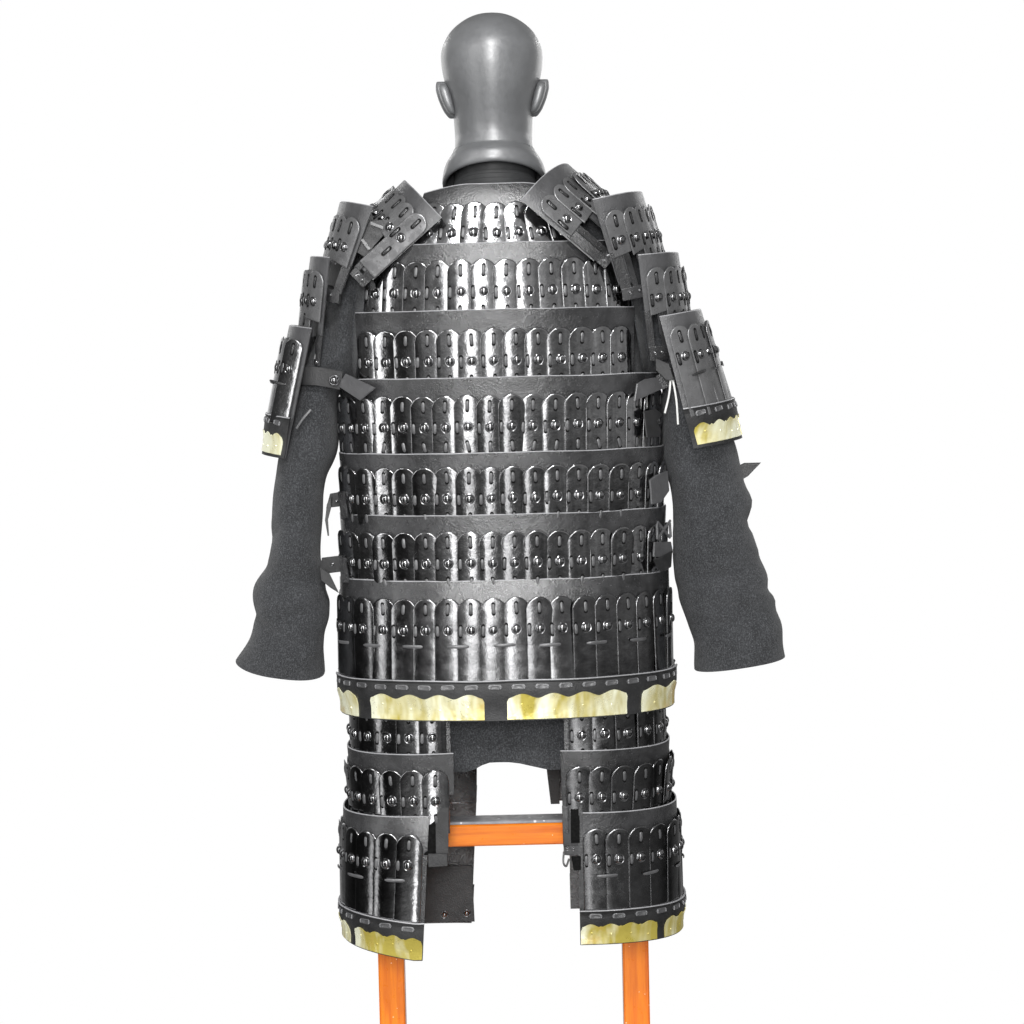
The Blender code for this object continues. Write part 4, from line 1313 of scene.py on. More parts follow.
def arm_row(side, entry):
    """The strip of one arm guard."""
    _, centre, top, shift, lean, height = entry[:6]
    top_width, bottom_width, top_depth, bottom_depth, back, front, skew = entry[6:]
    axis = Vector((-math.sin(math.radians(lean)), 0.0, math.cos(math.radians(lean))))
    base = Vector((centre, shift, top)) - axis * height
    place = axes_at((axis.z, 0.0, -axis.x), (0.0, 1.0, 0.0), axis, base)
    return Row(on_side(side, place), (bottom_width, bottom_depth), (top_width, top_depth), height,
               math.radians(back), math.radians(front), ARM_POWER, 0.0, skew,
               ARM_CANT.get((side, entry[0]), 0.0))


# Arm plates of a row, or of one side's row: height of their lower edge, leather above them,
# leather beside the first plate.
ARM_PLATES = {1: (0.004, 0.022, 0.004), 2: (0.002, 0.021, 0.004), 3: (0.002, 0.02, 0.004),
              4: (0.046, 0.018, 0.004), ("left", 1): (0.004, 0.0175, 0.0005)}
# The one guard whose plates are as bright as the torso's, and the turn of its first plate.
BRIGHT_GUARD = ("left", 4)
BRIGHT_TURN = math.radians(9.0)
GUARD_BRASS_LENGTH = 0.098
GUARD_BRASS_GAP = 0.01


def build_arms(kind):
    """The four guards of each arm, and their hems."""
    for side in ("left", "right"):
        for entry in ARM_ROWS[side]:
            number = entry[0]
            row = arm_row(side, entry)
            low, margin, beside = ARM_PLATES.get((side, number), ARM_PLATES[number])
            bright = (side, number) == BRIGHT_GUARD
            dressing = Dressing(low, row.height - margin, margins=(beside, 0.006),
                                notch=NOTCHES.get(("arm", side, number)),
                                first_turn=BRIGHT_TURN if bright else 0.0,
                                lower=number < 4, seam=number == 4)
            strip = dress_row("guard_%s_%d" % (side, number), row,
                              kind._replace(steel="Polished Steel") if bright else kind,
                              dressing, "arm_%s_%d" % (side, number))
        trim_hem("guard_%s_hem" % side, strip, GUARD_HEM, runs(
            0.006, strip.length - BRASS_MARGIN, GUARD_BRASS_LENGTH, GUARD_BRASS_GAP))


# ---- coat
# Outer face of the coat's body: height, half width, half depth.
COAT_SECTIONS = (
    (0.742, 0.203, 0.106),
    (0.8, 0.201, 0.107),
    (0.9, 0.199, 0.109),
    (1.0, 0.199, 0.112),
    (1.1, 0.2, 0.115),
    (1.2, 0.202, 0.12),
    (1.28, 0.204, 0.122),
    (1.33, 0.204, 0.121),
    (1.38, 0.203, 0.118),
    (1.43, 0.199, 0.111),
    (1.47, 0.188, 0.101),
    (1.5, 0.162, 0.092),
    (1.522, 0.12, 0.083),
    (1.538, 0.084, 0.076),
)
ARMHOLE_LOW = 1.315
ARMHOLE_HIGH = 1.496
ARMHOLE_SPREAD = math.radians(32.0)
ARMHOLE_SQUARENESS = 0.6
NECKLINE_DROP = 0.036
NECKLINE_HEIGHT = 0.04
COAT_SEAM = math.radians(0.12)
# How far the hem of the tail hangs below its level line, and how far it rises across the
# middle: distance from the middle and rise.
HEM_DROP = 0.008
HEM_REACH = 0.06        # how far up the coat the shape of its hem fades out
HEM_RISE = ((-0.0565, 0.0), (-0.035, 0.0055), (-0.015, 0.0105), (-0.001, 0.0125), (0.02, 0.0128),
            (0.033, 0.012), (0.041, 0.006), (0.053, 0.001), (0.06, 0.0))

# Sleeves, outer face, from the armhole to the cuff: inner point and outer point of each
# section (distance from the middle, height) and half depth.
SLEEVE_TOP = (
    (0.2085, 1.276, 0.189, 1.477, 0.064),
    (0.211, 1.274, 0.205, 1.458, 0.067),
    (0.216, 1.27, 0.227, 1.419, 0.068),
    (0.2235, 1.264, 0.245, 1.376, 0.066),
    (0.23, 1.255, 0.262, 1.335, 0.064),
)
SLEEVE_SECTIONS = {
    "left": SLEEVE_TOP + (
        (0.229, 1.235, 0.29, 1.262, 0.064),
        (0.2325, 1.182, 0.312, 1.19, 0.062),
        (0.251, 1.135, 0.3225, 1.138, 0.06),
        (0.258, 1.075, 0.329, 1.084, 0.057),
        (0.2612, 1.03, 0.335, 1.03, 0.055),
        (0.254, 0.986, 0.3575, 0.988, 0.052),
        (0.251, 0.948, 0.357, 0.95, 0.05),
        (0.2605, 0.912, 0.3635, 0.918, 0.048),
        (0.259, 0.866, 0.385, 0.886, 0.046),
    ),
    "right": SLEEVE_TOP + (
        (0.227, 1.235, 0.294, 1.262, 0.064),
        (0.2275, 1.16, 0.327, 1.19, 0.062),
        (0.24, 1.108, 0.346, 1.112, 0.056),
        (0.24, 1.02, 0.359, 1.03, 0.052),
        (0.247, 0.962, 0.38, 0.975, 0.05),
        (0.2655, 0.9, 0.397, 0.915, 0.048),
        (0.2675, 0.857, 0.3985, 0.874, 0.046),
    ),
}

# Where the sleeves are sewn to the body, in the same five numbers.
ARMHOLE_SECTION = (0.2035, 1.272, 0.168, 1.494, 0.089)

# Creases of each sleeve, given one by one: height, place round the sleeve in degrees (90 is the
# back), reach up the sleeve, reach round it, slant (metres down for each radian) and depth.
SLEEVE_CREASES = {
    "left": (
        (1.345, 70.0, 0.018, 34.0, 0.06, -0.007),
        (1.385, 75.0, 0.016, 30.0, 0.08, 0.005),
        (1.3, 80.0, 0.014, 36.0, -0.04, 0.0045),
        (1.15, 95.0, 0.01, 50.0, 0.018, -0.0035),
        (1.08, 60.0, 0.012, 55.0, -0.02, -0.004),
        (1.03, 110.0, 0.009, 60.0, 0.012, 0.0035),
        (1.004, 80.0, 0.01, 70.0, 0.01, -0.005),
        (0.972, 100.0, 0.01, 60.0, -0.016, 0.004),
        (0.93, 60.0, 0.011, 60.0, 0.02, -0.0045),
        (0.9, 120.0, 0.01, 45.0, -0.012, 0.003),
        (1.12, -90.0, 0.012, 60.0, 0.02, -0.004),
        (1.02, -70.0, 0.011, 60.0, -0.018, -0.0045),
        (0.95, -110.0, 0.011, 55.0, 0.016, 0.004),
    ),
    "right": (
        (1.345, 70.0, 0.018, 34.0, -0.06, -0.006),
        (1.3, 80.0, 0.014, 36.0, 0.04, 0.0045),
        (1.098, 5.0, 0.014, 45.0, 0.01, 0.0032),
        (1.066, 10.0, 0.012, 45.0, -0.012, -0.0042),
        (0.972, 0.0, 0.013, 42.0, 0.012, -0.0046),
        (0.945, 10.0, 0.02, 42.0, 0.0, -0.004),
        (0.897, -5.0, 0.022, 42.0, 0.0, -0.0034),
        (1.15, 80.0, 0.01, 50.0, -0.018, -0.003),
        (1.09, 110.0, 0.012, 55.0, 0.02, -0.004),
        (1.04, 70.0, 0.01, 60.0, -0.014, 0.0035),
        (0.995, 90.0, 0.01, 70.0, 0.014, -0.005),
        (0.965, 60.0, 0.01, 60.0, -0.01, 0.0045),
        (0.925, 100.0, 0.011, 60.0, 0.02, -0.0045),
        (1.12, -80.0, 0.012, 60.0, -0.02, -0.004),
        (1.01, -100.0, 0.011, 60.0, 0.018, -0.0045),
        (0.94, -70.0, 0.011, 55.0, -0.016, 0.004),
    ),
}
CREASE_STRENGTH = 1.6
CREASE_FADE = 22.0      # rings from the armhole over which the creases grow
CLOTH_RIPPLE = 0.0012
# How far the back of a sleeve's hem hangs below its sides.
SLEEVE_SAG = {"left": 0.013, "right": 0.003}


def crease_depth(creases, height, angle):
    """How far the cloth stands out or in at a spot of a sleeve."""
    total = 0.0
    for level, middle, reach, spread, slant, depth in creases:
        turn = (angle - math.radians(middle) + math.pi) % (2.0 * math.pi) - math.pi
        away = (height - level + slant * turn) / reach
        total += depth * math.exp(-away * away) * math.exp(-(turn / math.radians(spread)) ** 2)
    return total * CREASE_STRENGTH


def open_surface(name, points, columns, rings, closed=False):
    """An object made of one open sheet of quads."""
    mesh = bpy.data.meshes.new(name)
    mesh.from_pydata([tuple(point) for point in points], [], grid_faces(columns, rings, closed))
    return add_object(name, mesh)


def apply_modifiers(obj):
    """Keep the shape that the modifiers give as the object's own mesh."""
    bpy.context.view_layer.update()
    shaped = obj.evaluated_get(bpy.context.evaluated_depsgraph_get())
    mesh = bpy.data.meshes.new_from_object(shaped)
    obj.modifiers.clear()
    old = obj.data
    obj.data = mesh
    bpy.data.meshes.remove(old)


def make_cloth(obj, thickness, node):
    """Give an outer face the coat's thickness, inwards, and tie it to the frame."""
    obj.data.materials.append(bpy.data.materials["Charcoal Wool"])
    wall = obj.modifiers.new("Wall", "SOLIDIFY")
    wall.thickness = thickness
    wall.offset = -1.0
    bm = bmesh.new()
    bm.from_mesh(obj.data)
    centre = sum((vert.co for vert in bm.verts), Vector()) / len(bm.verts)
    outward = sum(face.normal.dot(face.calc_center_median() - centre) for face in bm.faces)
    if outward < 0.0:
        bmesh.ops.reverse_faces(bm, faces=bm.faces)
    bm.to_mesh(obj.data)
    bm.free()
    apply_modifiers(obj)
    return finish_piece(obj, [node], sharp=60.0)


def armhole_angle(height):
    """Where a panel of the coat ends beside its armhole."""
    share = (height - ARMHOLE_LOW) / (ARMHOLE_HIGH - ARMHOLE_LOW)
    if not 0.0 < share < 1.0:
        return COAT_SEAM
    return COAT_SEAM + ARMHOLE_SPREAD * math.sin(math.pi * share) ** ARMHOLE_SQUARENESS


def build_coat_body(thickness):
    """The coat's back and front panels."""
    columns, rings = 72, 96
    for panel, facing in (("back", 1.0), ("front", -1.0)):
        points = []
        for height, half_width, half_depth in smooth_curve(COAT_SECTIONS, rings):
            end = armhole_angle(height)
            for share in np.linspace(0.0, 1.0, columns + 1):
                angle = facing * (end + (math.pi - 2.0 * end) * share)
                ripple = wobble(share * 6.0, height * 7.0, facing) * CLOTH_RIPPLE
                x, y = section_point(half_width, half_depth, angle, TORSO_POWER, ripple)
                level = height
                if panel == "front":
                    low = COAT_SECTIONS[-1][0] - NECKLINE_HEIGHT
                    dip = max(0.0, (height - low) / NECKLINE_HEIGHT)
                    level -= NECKLINE_DROP * dip ** 2 * math.sin(angle) ** 2
                rise = max(0.0, 1.0 - (height - COAT_SECTIONS[0][0]) / HEM_REACH)
                level += rise * (float(np.interp(x, *zip(*HEM_RISE))) - HEM_DROP)
                points.append((x + MIDDLE, y, level))
        name = "wool_coat_" + panel
        obj = make_cloth(open_surface(name, points, columns, rings), thickness, "coat_" + panel)


def build_sleeves(thickness):
    """The coat's two sleeves."""
    columns, rings = 72, 110
    for side, sign in (("left", 1.0), ("right", -1.0)):
        points = []
        curve = smooth_curve((ARMHOLE_SECTION,) + SLEEVE_SECTIONS[side], rings)
        for ring, (inner_x, inner_z, outer_x, outer_z, half_depth) in enumerate(curve):
            middle = Vector(((inner_x + outer_x) / 2.0, 0.0, (inner_z + outer_z) / 2.0))
            for angle in turns(columns):
                across, depth = section_point(1.0, 1.0, angle, SLEEVE_POWER)
                share = (across + 1.0) / 2.0
                spot = Vector((inner_x + (outer_x - inner_x) * share, depth * half_depth,
                               inner_z + (outer_z - inner_z) * share))
                fade = min(1.0, ring / CREASE_FADE)
                out = crease_depth(SLEEVE_CREASES[side], spot.z, angle)
                out += CLOTH_RIPPLE * wobble(across * 1.6, depth * 1.6, spot.z * 26.0 + sign)
                spot += (spot - middle).normalized() * out * fade
                low = max(0.0, ring / rings - 0.75) * 4.0
                spot.z -= SLEEVE_SAG[side] * low * low * max(0.0, depth)
                points.append((sign * spot.x + MIDDLE, spot.y, spot.z))
        name = "wool_sleeve_" + side
        obj = open_surface(name, points, columns, rings, closed=True)
        make_cloth(obj, thickness, "coat_sleeve_" + side)


# ---- dress form
# Height, half width, half depth, shift in Y, rise of the section for each metre of Y.
TORSO_FORM_SECTIONS = (
    (0.8, 0.19, 0.096, 0.0, 0.0),
    (0.9, 0.182, 0.098, 0.0, 0.0),
    (1.03, 0.172, 0.098, 0.0, 0.0),
    (1.15, 0.176, 0.104, 0.0, 0.0),
    (1.28, 0.186, 0.11, 0.0, 0.0),
    (1.39, 0.186, 0.106, 0.0, 0.0),
    (1.45, 0.176, 0.092, 0.0, 0.0),
    (1.488, 0.14, 0.08, 0.0, 0.05),
    (1.508, 0.092, 0.069, 0.0, 0.2),
    (1.518, 0.07, 0.064, 0.0, 0.34),
    (1.526, 0.067, 0.063, 0.0, 0.4),
    (1.5275, 0.065, 0.0615, 0.0, 0.4),
    (1.533, 0.0645, 0.061, 0.0, 0.4),
    (1.5345, 0.0625, 0.0595, 0.0, 0.4),
    (1.54, 0.062, 0.059, 0.0, 0.4),
    (1.5415, 0.0602, 0.0575, 0.0, 0.4),
    (1.546, 0.06, 0.0572, 0.0, 0.4),
    (1.5475, 0.0584, 0.0558, 0.0, 0.4),
    (1.578, 0.058, 0.0555, 0.0, 0.4),
)
# The hollow under the rim comes first, then the rim, the seam where the neck meets it, the
# neck and the skull.
HEAD_SECTIONS = (
    (1.576, 0.06, 0.063, 0.0, 0.4),
    (1.562, 0.0655, 0.069, 0.0, 0.4),
    (1.552, 0.068, 0.0715, 0.0, 0.4),
    (1.549, 0.07, 0.074, 0.0, 0.4),
    (1.55, 0.0728, 0.077, 0.0, 0.4),
    (1.556, 0.0736, 0.0778, 0.0, 0.4),
    (1.569, 0.0712, 0.075, 0.0, 0.37),
    (1.579, 0.0672, 0.0712, -0.001, 0.31),
    (1.588, 0.062, 0.0664, -0.003, 0.25),
    (1.596, 0.0575, 0.062, -0.004, 0.19),
    (1.5975, 0.0574, 0.0618, -0.004, 0.18),
    (1.5983, 0.0558, 0.0602, -0.005, 0.17),
    (1.607, 0.0546, 0.0634, -0.0096, 0.12),
    (1.614, 0.0546, 0.0745, -0.0215, 0.08),
    (1.621, 0.0546, 0.079, -0.0265, 0.05),
    (1.635, 0.0553, 0.0813, -0.0273, 0.0),
    (1.649, 0.0561, 0.0838, -0.0258, 0.0),
    (1.663, 0.0576, 0.0878, -0.0248, 0.0),
    (1.677, 0.0608, 0.091, -0.0235, 0.0),
    (1.691, 0.0654, 0.093, -0.022, 0.0),
    (1.705, 0.0692, 0.095, -0.0212, 0.0),
    (1.718, 0.0711, 0.0968, -0.021, 0.0),
    (1.731, 0.0718, 0.0964, -0.02, 0.0),
    (1.742, 0.0703, 0.0942, -0.019, 0.0),
    (1.754, 0.0655, 0.0884, -0.018, 0.0),
    (1.768, 0.0554, 0.0756, -0.016, 0.0),
    (1.78, 0.0402, 0.0556, -0.014, 0.0),
    (1.788, 0.023, 0.032, -0.013, 0.0),
    (1.7912, 0.004, 0.0056, -0.012, 0.0),
)
# Ears: height, and the distances from the middle of the head to the root and to the edge.
EAR_SECTIONS = (
    (1.6455, 0.051, 0.0645),
    (1.656, 0.053, 0.0705),
    (1.6715, 0.056, 0.0765),
    (1.685, 0.06, 0.0805),
    (1.6975, 0.065, 0.0815),
)
# The parts of an ear: how far its edge stands in, its middle and half depth in Y, and its share
# of the whole height.
EAR_PARTS = ((0.0, -0.017, 0.011, 1.0), (0.004, -0.006, 0.017, 0.84))
HEAD_MIDDLE = 0.001
FORM_COLUMNS = 96


def form_ring(section, power, middle=0.0):
    """One ring of the dress form or its head."""
    height, half_width, half_depth, shift, rise = section
    ring = []
    for angle in turns(FORM_COLUMNS):
        x, y = section_point(half_width, half_depth, angle, power)
        ring.append((x + MIDDLE + middle, y + shift, height + rise * y))
    return ring


def ear_part(sign, inset, shift, half_depth, part):
    """A rounded slab that makes up part of an ear."""
    heights, roots, edges = zip(*EAR_SECTIONS)
    middle, half = (heights[0] + heights[-1]) / 2.0, (heights[-1] - heights[0]) / 2.0
    rings = []
    for turn in np.linspace(-math.pi / 2.0, math.pi / 2.0, 19):
        share = math.sin(turn) * part
        round_off = max(0.06, math.cos(turn)) ** 0.55
        level = middle + half * share
        root = float(np.interp(level, heights, roots))
        edge = float(np.interp(level, heights, edges)) - inset
        edge -= 0.005 * (1.0 - round_off)
        ring = []
        for a in turns(28):
            x = (root + edge) / 2.0 + (edge - root) / 2.0 * signed_power(math.cos(a), 0.75)
            y = shift + half_depth * round_off * signed_power(math.sin(a), 0.75)
            ring.append((MIDDLE + HEAD_MIDDLE + sign * x, y, level))
        rings.append(ring)
    return tube(rings)


def build_dress_form():
    """The limbless torso, and the plain head with its ears."""
    torso = Batch()
    torso.add(tube([form_ring(section, TORSO_POWER)
                    for section in smooth_curve(TORSO_FORM_SECTIONS, 144)]))
    # the body takes the darker plastic, painted shade for its neck stub
    torso.build("form_body", ["Body Plastic"], "plastic", ["form_torso"])
    head = Batch()
    head.add(tube([form_ring(section, 2.0, HEAD_MIDDLE)
                   for section in smooth_curve(HEAD_SECTIONS, 162)]))
    for sign in (1.0, -1.0):
        for inset, shift, half_depth, part in EAR_PARTS:
            head.add(ear_part(sign, inset, shift, half_depth, part))
    head.build("head_shell", ["Form Plastic"], "plastic", ["form_head"], sharp=45.0)


# ---- stand
STAND_FINISHES = {
    "stand_post_left": "Stained Wood Upright",
    "stand_post_right": "Stained Wood Upright",
    "stand_crossbar": "Stained Wood Crosswise",
    "stand_foot_left": "Stained Wood Lengthwise",
    "stand_foot_right": "Stained Wood Lengthwise",
    "stand_rail": "Painted Rail",
}


def finish_stand():
    """The stand keeps its own shape and takes its finishes."""
    for name, finish in STAND_FINISHES.items():
        for slot in bpy.data.objects[name].material_slots:
            slot.material = bpy.data.materials[finish]


# ---- stage
# What polished metal sees round the stage: degrees from the side that the wearer's back
# faces, towards the wearer's left, and brightness.
REFLECTIONS = (
    (-180, 1.5), (-148, 1.5), (-136, 0.8), (-122, 0.4), (-104, 0.08), (-94, 0.12),
    (-84, 0.36), (-46, 0.38), (-36, 0.42), (-24, 0.34), (-14, 0.5), (-6, 0.9), (-3.0, 7.0),
    (2.8, 7.0), (6.0, 1.0), (13, 0.5), (24, 0.32), (33, 0.1), (46, 0.06), (52, 0.25),
    (55, 5.0), (61, 5.0), (65, 0.4), (73, 0.08), (104, 0.05), (122, 0.3), (138, 0.7),
    (150, 1.5),
)
# Heights on the ring and the share of its brightness there.
REFLECTION_FADE = ((-3.0, 0.05), (-1.1, 0.12), (-0.6, 0.45), (-0.25, 0.5), (0.1, 0.16),
                   (0.36, 0.2), (0.6, 0.36), (0.82, 0.85), (1.0, 1.0), (3.6, 1.0), (4.4, 0.5),
                   (5.0, 0.3))
FLOOR_RADIUS = 40.0
BRIGHTEST = 7.0
RING_RADIUS = 2.6
RING_FOOT = -3.0
RING_LOW = 2.35
RING_HIGH = 5.0
RING_HIGH_SPREAD = 24.0     # degrees to either side of the wearer's back
# Lamps: name, place, what they face, width and height, and power.
LAMPS = (
    ("key_light", (0.15, 4.3, 2.0), (0.0, 0.0, 1.2), (0.6, 1.4), 130.0),
    ("side_light", (2.6, 2.6, 2.4), (0.0, 0.0, 1.2), (1.2, 1.6), 35.0),
    ("top_light", (0.0, 2.6, 3.3), (0.0, 0.0, 1.45), (0.9, 0.5), 70.0),
    ("rim_light", (-1.3, -2.9, 2.1), (0.0, 0.0, 1.5), (0.5, 1.0), 14.0),
    ("rim_light", (1.3, -2.9, 2.1), (0.0, 0.0, 1.5), (0.5, 1.0), 14.0),
)


def build_floor(colour):
    """A pale floor that fades to white away from the stand."""
    floor = Finish("Studio Floor", Roughness=1.0, Specular_IOR_Level=0.0, Emission_Strength=1.0)
    away = add_node(floor.tree, "VectorMath", {0: floor.where}, operation="LENGTH")
    mask = add_node(floor.tree, "MapRange", {"Value": away.outputs["Value"], "From Min": 0.35,
                                             "From Max": 1.3}, interpolation_type="SMOOTHSTEP")
    share = mask.outputs["Result"]
    floor.feed("Base Color", floor.blend(share, tuple(colour), (0.0, 0.0, 0.0)))
    floor.feed("Emission Color", floor.blend(share, (0.0, 0.0, 0.0), (1.0, 1.0, 1.0)))
    bm = bmesh.new()
    bmesh.ops.create_circle(bm, cap_ends=True, segments=96, radius=FLOOR_RADIUS)
    mesh = bpy.data.meshes.new("studio_floor")
    bm.to_mesh(mesh)
    bm.free()
    mesh.materials.append(bpy.data.materials["Studio Floor"])
    obj = add_object("studio_floor", mesh)
    obj.visible_glossy = False


def set_stops(ramp, places):
    """Give a colour ramp grey stops at the given places."""
    stops = ramp.color_ramp.elements
    while len(stops) < len(places):
        stops.new(0.5)
    for stop, (place, value) in zip(stops, places):
        stop.position = place
        stop.color = (value,) * 3 + (1.0,)


def reflector_glow(strength):
    """Light that changes round the ring, a little cloudy."""
    glow = Finish("Reflector Glow", Base_Color=(0.0, 0.0, 0.0, 1.0), Roughness=1.0,
                  Specular_IOR_Level=0.0, Emission_Strength=BRIGHTEST * strength)
    turn = add_node(glow.tree, "TexGradient", {"Vector": glow.where}, gradient_type="RADIAL")
    ramp = add_node(glow.tree, "ValToRGB", {"Fac": turn.outputs["Fac"]})
    set_stops(ramp, sorted(((0.75 - angle / 360.0) % 1.0, value / BRIGHTEST)
                           for angle, value in REFLECTIONS))
    dim = glow.blend(0.68, ramp.outputs["Color"], (0.0, 0.0, 0.0))
    cloud = glow.cloud(3.0)
    low, high = REFLECTION_FADE[0][0], REFLECTION_FADE[-1][0]
    level = add_node(glow.tree, "SeparateXYZ", {"Vector": glow.where}).outputs["Z"]
    rise = add_node(glow.tree, "MapRange", {"Value": level, "From Min": low, "From Max": high})
    fade = add_node(glow.tree, "ValToRGB", {"Fac": rise.outputs["Result"]})
    set_stops(fade, [((z - low) / (high - low), share) for z, share in REFLECTION_FADE])
    glow.feed("Emission Color", glow.blend(fade.outputs["Color"], (0.0, 0.0, 0.0),
                                           glow.blend(cloud, ramp.outputs["Color"], dim)))


def build_reflectors(strength):
    """A ring of soft light that only reflections see, taller where the wearer's back faces."""
    reflector_glow(strength)
    columns = 120
    points = []
    for column in range(columns):
        angle = -180.0 + 360.0 * column / columns
        turn = math.radians(90.0 - angle)
        top = RING_HIGH if abs(angle) < RING_HIGH_SPREAD else RING_LOW
        points += [(RING_RADIUS * math.cos(turn), RING_RADIUS * math.sin(turn), z)
                   for z in (RING_FOOT, top)]
    faces = [(2 * k, 2 * k + 1, (2 * k + 3) % (2 * columns), (2 * k + 2) % (2 * columns))
             for k in range(columns)]
    mesh = bpy.data.meshes.new("reflector_ring")
    mesh.from_pydata(points, [], faces)
    mesh.materials.append(bpy.data.materials["Reflector Glow"])
    obj = add_object("reflector_ring", mesh)
    for kind in ("camera", "diffuse", "shadow", "transmission", "volume_scatter"):
        setattr(obj, "visible_" + kind, False)


def build_world(strength, shine):
    """White to the camera, softer as a light."""
    world = bpy.data.worlds.new("Studio World")
    bpy.context.scene.world = world
    world.use_nodes = True
    tree = world.node_tree
    back = tree.nodes["Background"]
    back.inputs["Color"].default_value = (1.0, 1.0, 1.0, 1.0)
    path = add_node(tree, "LightPath")
    shaded = add_node(tree, "MapRange", {"Value": path.outputs["Is Glossy Ray"],
                                         "To Min": strength, "To Max": shine})
    level = add_node(tree, "Mix", {"Factor": path.outputs["Is Camera Ray"],
                                   "A": shaded.outputs["Result"], "B": 1.0})
    tree.links.new(level.outputs["Result"], back.inputs["Strength"])


def add_lamp(name, spot, target, size, power):
    """A soft lamp that faces a target."""
    light = bpy.data.lights.new(name, "AREA")
    light.shape = "RECTANGLE"
    light.size, light.size_y = size
    light.energy = power
    lamp = add_object(name, light)
    lamp.location = spot
    lamp.rotation_euler = (Vector(target) - Vector(spot)).to_track_quat("-Z", "Y").to_euler()


def build_camera(settings):
    """A camera behind the wearer that looks a little down and leans a little."""
    camera = bpy.data.cameras.new("studio_camera")
    camera.lens = settings.lens
    camera.sensor_width = 36.0
    camera.clip_end = 100.0
    obj = add_object("studio_camera", camera)
    obj.matrix_world = (Matrix.Translation(settings.camera_spot)
                        @ Matrix.Rotation(math.pi, 4, "Z")
                        @ Matrix.Rotation(math.pi / 2.0 - settings.tilt, 4, "X")
                        @ Matrix.Rotation(-settings.roll, 4, "Z"))
    bpy.context.scene.camera = obj


# ---- settings
def length_property(name, description, default, low, high):
    return bpy.props.FloatProperty(name=name, description=description, default=default, min=low,
                                   max=high, unit="LENGTH")


def strength_property(name, description, default):
    return bpy.props.FloatProperty(name=name, description=description, default=default, min=0.0,
                                   max=8.0)


def angle_property(name, description, degrees):
    return bpy.props.FloatProperty(name=name, description=description,
                                   default=math.radians(degrees), subtype="ANGLE")


def colour_property(name, description, default):
    return bpy.props.FloatVectorProperty(name=name, description=description, default=default,
                                         size=3, min=0.0, max=1.0, subtype="COLOR")


class PlateSettings(bpy.types.PropertyGroup):
    """Sizes of the lamellae and their fittings."""

    torso_width: length_property(
        "Torso plate width", "Width of a plate of the torso and thigh rows", 0.038, 0.02, 0.08)
    torso_pitch: length_property(
        "Torso plate pitch", "Distance from one torso plate to the next", 0.0308, 0.015, 0.08)
    arm_width: length_property(
        "Arm plate width", "Width of a plate of the arm guards", 0.0315, 0.02, 0.08)
    arm_pitch: length_property(
        "Arm plate pitch", "Distance from one arm plate to the next", 0.0245, 0.015, 0.08)
    dish: length_property("Bulge", "How far the middle of a plate stands out", 0.0019, 0.0, 0.006)
    thickness: length_property("Plate thickness", "Thickness of the steel", 0.0014, 0.0006, 0.003)
    rivet_radius: length_property(
        "Rivet radius", "Radius of a rivet's domed head", 0.0062, 0.002, 0.012)
    lace_width: length_property("Lace width", "Width of the leather laces", 0.0046, 0.001, 0.008)


class FinishSettings(bpy.types.PropertyGroup):
    """Colours of the materials."""

    steel: colour_property("Steel", "Colour of the polished plates", (0.68, 0.68, 0.69))
    leather: colour_property("Leather", "Colour of the waxed leather", (0.056, 0.056, 0.058))
    wool: colour_property("Wool", "Colour of the coat's cloth", (0.029, 0.03, 0.032))
    plastic: colour_property("Dress form", "Colour of the form's plastic", (0.134, 0.137, 0.141))
    wood: colour_property("Stand", "Colour of the stained wood", (0.76, 0.212, 0.008))
    brass: colour_property("Brass", "Colour of the hem trims", (1.0, 1.0, 0.76))


class CoatSettings(bpy.types.PropertyGroup):
    """Sizes of the coat."""

    thickness: length_property(
        "Cloth thickness", "Thickness of the coat's wool", 0.0025, 0.001, 0.006)


class StageSettings(bpy.types.PropertyGroup):
    """Camera, floor and light."""

    lens: bpy.props.FloatProperty(
        name="Lens", description="Focal length of the camera", default=95.26, min=20.0, max=300.0,
        unit="CAMERA")
    camera_spot: bpy.props.FloatVectorProperty(
        name="Camera", description="Place of the camera", default=(-0.006, 3.84, 1.35), size=3,
        subtype="TRANSLATION")
    tilt: angle_property("Tilt", "How far the camera looks down", 3.906)
    roll: angle_property("Roll", "How far the camera leans to its right", 1.33)
    floor_colour: colour_property("Floor", "Colour of the floor", (0.82, 0.82, 0.82))
    world_strength: strength_property("Sky light", "Strength of the light from all round", 0.55)
    world_shine: strength_property(
        "Sky shine", "Brightness of the sky that polished metal sees", 0.2)
    panel_strength: strength_property(
        "Reflector", "Brightness of the ring of light that polished metal sees", 1.0)


# ---- operators
class ARMOUR_OT_finishes(bpy.types.Operator):
    """Make the materials of every piece"""

    bl_idname = "armour.finishes"
    bl_label = "Finishes"

    def execute(self, context):
        make_materials(context.scene.armour_finishes)
        return {"FINISHED"}


class ARMOUR_OT_torso(bpy.types.Operator):
    """Build the seven rows of the back and of the front"""

    bl_idname = "armour.torso"
    bl_label = "Torso Rows"

    def execute(self, context):
        build_torso(wide_plate(context.scene.armour_plates))
        return {"FINISHED"}


class ARMOUR_OT_thighs(bpy.types.Operator):
    """Build the three rows round each thigh"""

    bl_idname = "armour.thighs"
    bl_label = "Thigh Rows"

    def execute(self, context):
        build_thighs(wide_plate(context.scene.armour_plates))
        return {"FINISHED"}


class ARMOUR_OT_arms(bpy.types.Operator):
    """Build the four guards of each arm"""

    bl_idname = "armour.arms"
    bl_label = "Arm Guards"

    def execute(self, context):
        build_arms(arm_plate(context.scene.armour_plates))
        return {"FINISHED"}


class ARMOUR_OT_straps(bpy.types.Operator):
    """Build the hangers between the guards and the straps that hold the armour on"""

    bl_idname = "armour.straps"
    bl_label = "Straps"

    def execute(self, context):
        build_hangers()
        build_loose_straps()
        return {"FINISHED"}


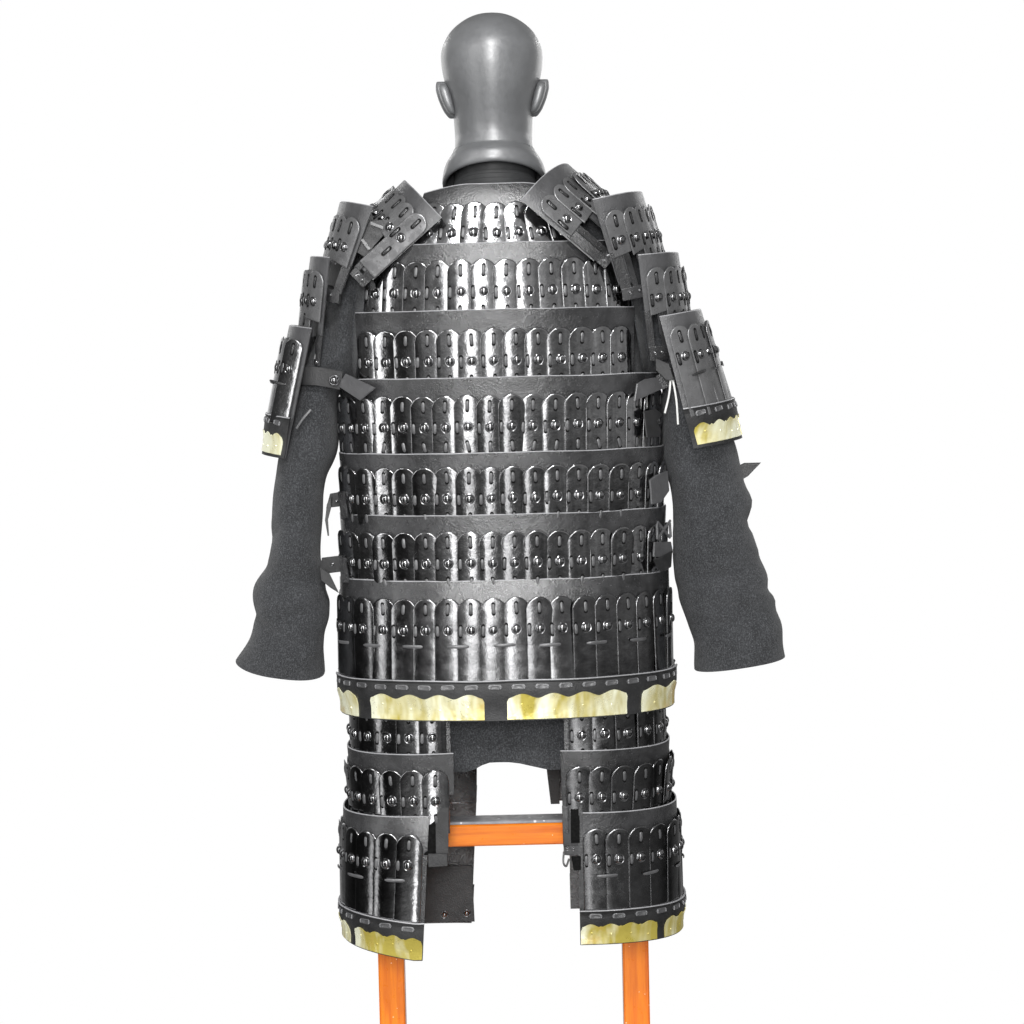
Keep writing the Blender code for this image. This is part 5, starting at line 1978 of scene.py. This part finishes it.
class ARMOUR_OT_coat(bpy.types.Operator):
    """Build the wool coat's panels and sleeves"""

    bl_idname = "armour.coat"
    bl_label = "Wool Coat"

    def execute(self, context):
        build_coat_body(context.scene.armour_coat.thickness)
        build_sleeves(context.scene.armour_coat.thickness)
        return {"FINISHED"}


class ARMOUR_OT_form(bpy.types.Operator):
    """Build the limbless dress form and its head"""

    bl_idname = "armour.form"
    bl_label = "Dress Form"

    def execute(self, context):
        build_dress_form()
        return {"FINISHED"}


class ARMOUR_OT_stand(bpy.types.Operator):
    """Give the wooden stand its finishes"""

    bl_idname = "armour.stand"
    bl_label = "Stand"

    def execute(self, context):
        finish_stand()
        return {"FINISHED"}


class ARMOUR_OT_stage(bpy.types.Operator):
    """Build the floor, the light and the camera"""

    bl_idname = "armour.stage"
    bl_label = "Stage"

    def execute(self, context):
        settings = context.scene.armour_stage
        build_floor(settings.floor_colour)
        build_world(settings.world_strength, settings.world_shine)
        build_reflectors(settings.panel_strength)
        for lamp in LAMPS:
            add_lamp(*lamp)
        build_camera(settings)
        context.scene.view_settings.view_transform = "Standard"
        return {"FINISHED"}


class ARMOUR_PT_panel(bpy.types.Panel):
    """Lists the settings and the builders"""

    bl_label = "Lamellar Armour"
    bl_idname = "ARMOUR_PT_panel"
    bl_space_type = "VIEW_3D"
    bl_region_type = "UI"
    bl_category = "Armour"

    def draw(self, context):
        scene = context.scene
        for label, settings in (("Plates", scene.armour_plates),
                                ("Finishes", scene.armour_finishes),
                                ("Coat", scene.armour_coat), ("Stage", scene.armour_stage)):
            box = self.layout.box()
            box.label(text=label)
            for key in type(settings).__annotations__:
                box.prop(settings, key)
        for builder in BUILDERS:
            self.layout.operator(builder.bl_idname)


SETTINGS = {
    "armour_plates": PlateSettings,
    "armour_finishes": FinishSettings,
    "armour_coat": CoatSettings,
    "armour_stage": StageSettings,
}
BUILDERS = (
    ARMOUR_OT_finishes,
    ARMOUR_OT_torso,
    ARMOUR_OT_thighs,
    ARMOUR_OT_arms,
    ARMOUR_OT_straps,
    ARMOUR_OT_coat,
    ARMOUR_OT_form,
    ARMOUR_OT_stand,
    ARMOUR_OT_stage,
)


def register():
    for cls in (*SETTINGS.values(), *BUILDERS, ARMOUR_PT_panel):
        bpy.utils.register_class(cls)
    for name, cls in SETTINGS.items():
        setattr(bpy.types.Scene, name, bpy.props.PointerProperty(type=cls))


def unregister():
    for name in SETTINGS:
        delattr(bpy.types.Scene, name)
    for cls in (ARMOUR_PT_panel, *reversed(BUILDERS), *reversed(tuple(SETTINGS.values()))):
        bpy.utils.unregister_class(cls)


def main():
    register()
    for builder in BUILDERS:
        group, name = builder.bl_idname.split(".")
        getattr(getattr(bpy.ops, group), name)()
    bpy.context.view_layer.update()


if __name__ == "__main__":
    main()
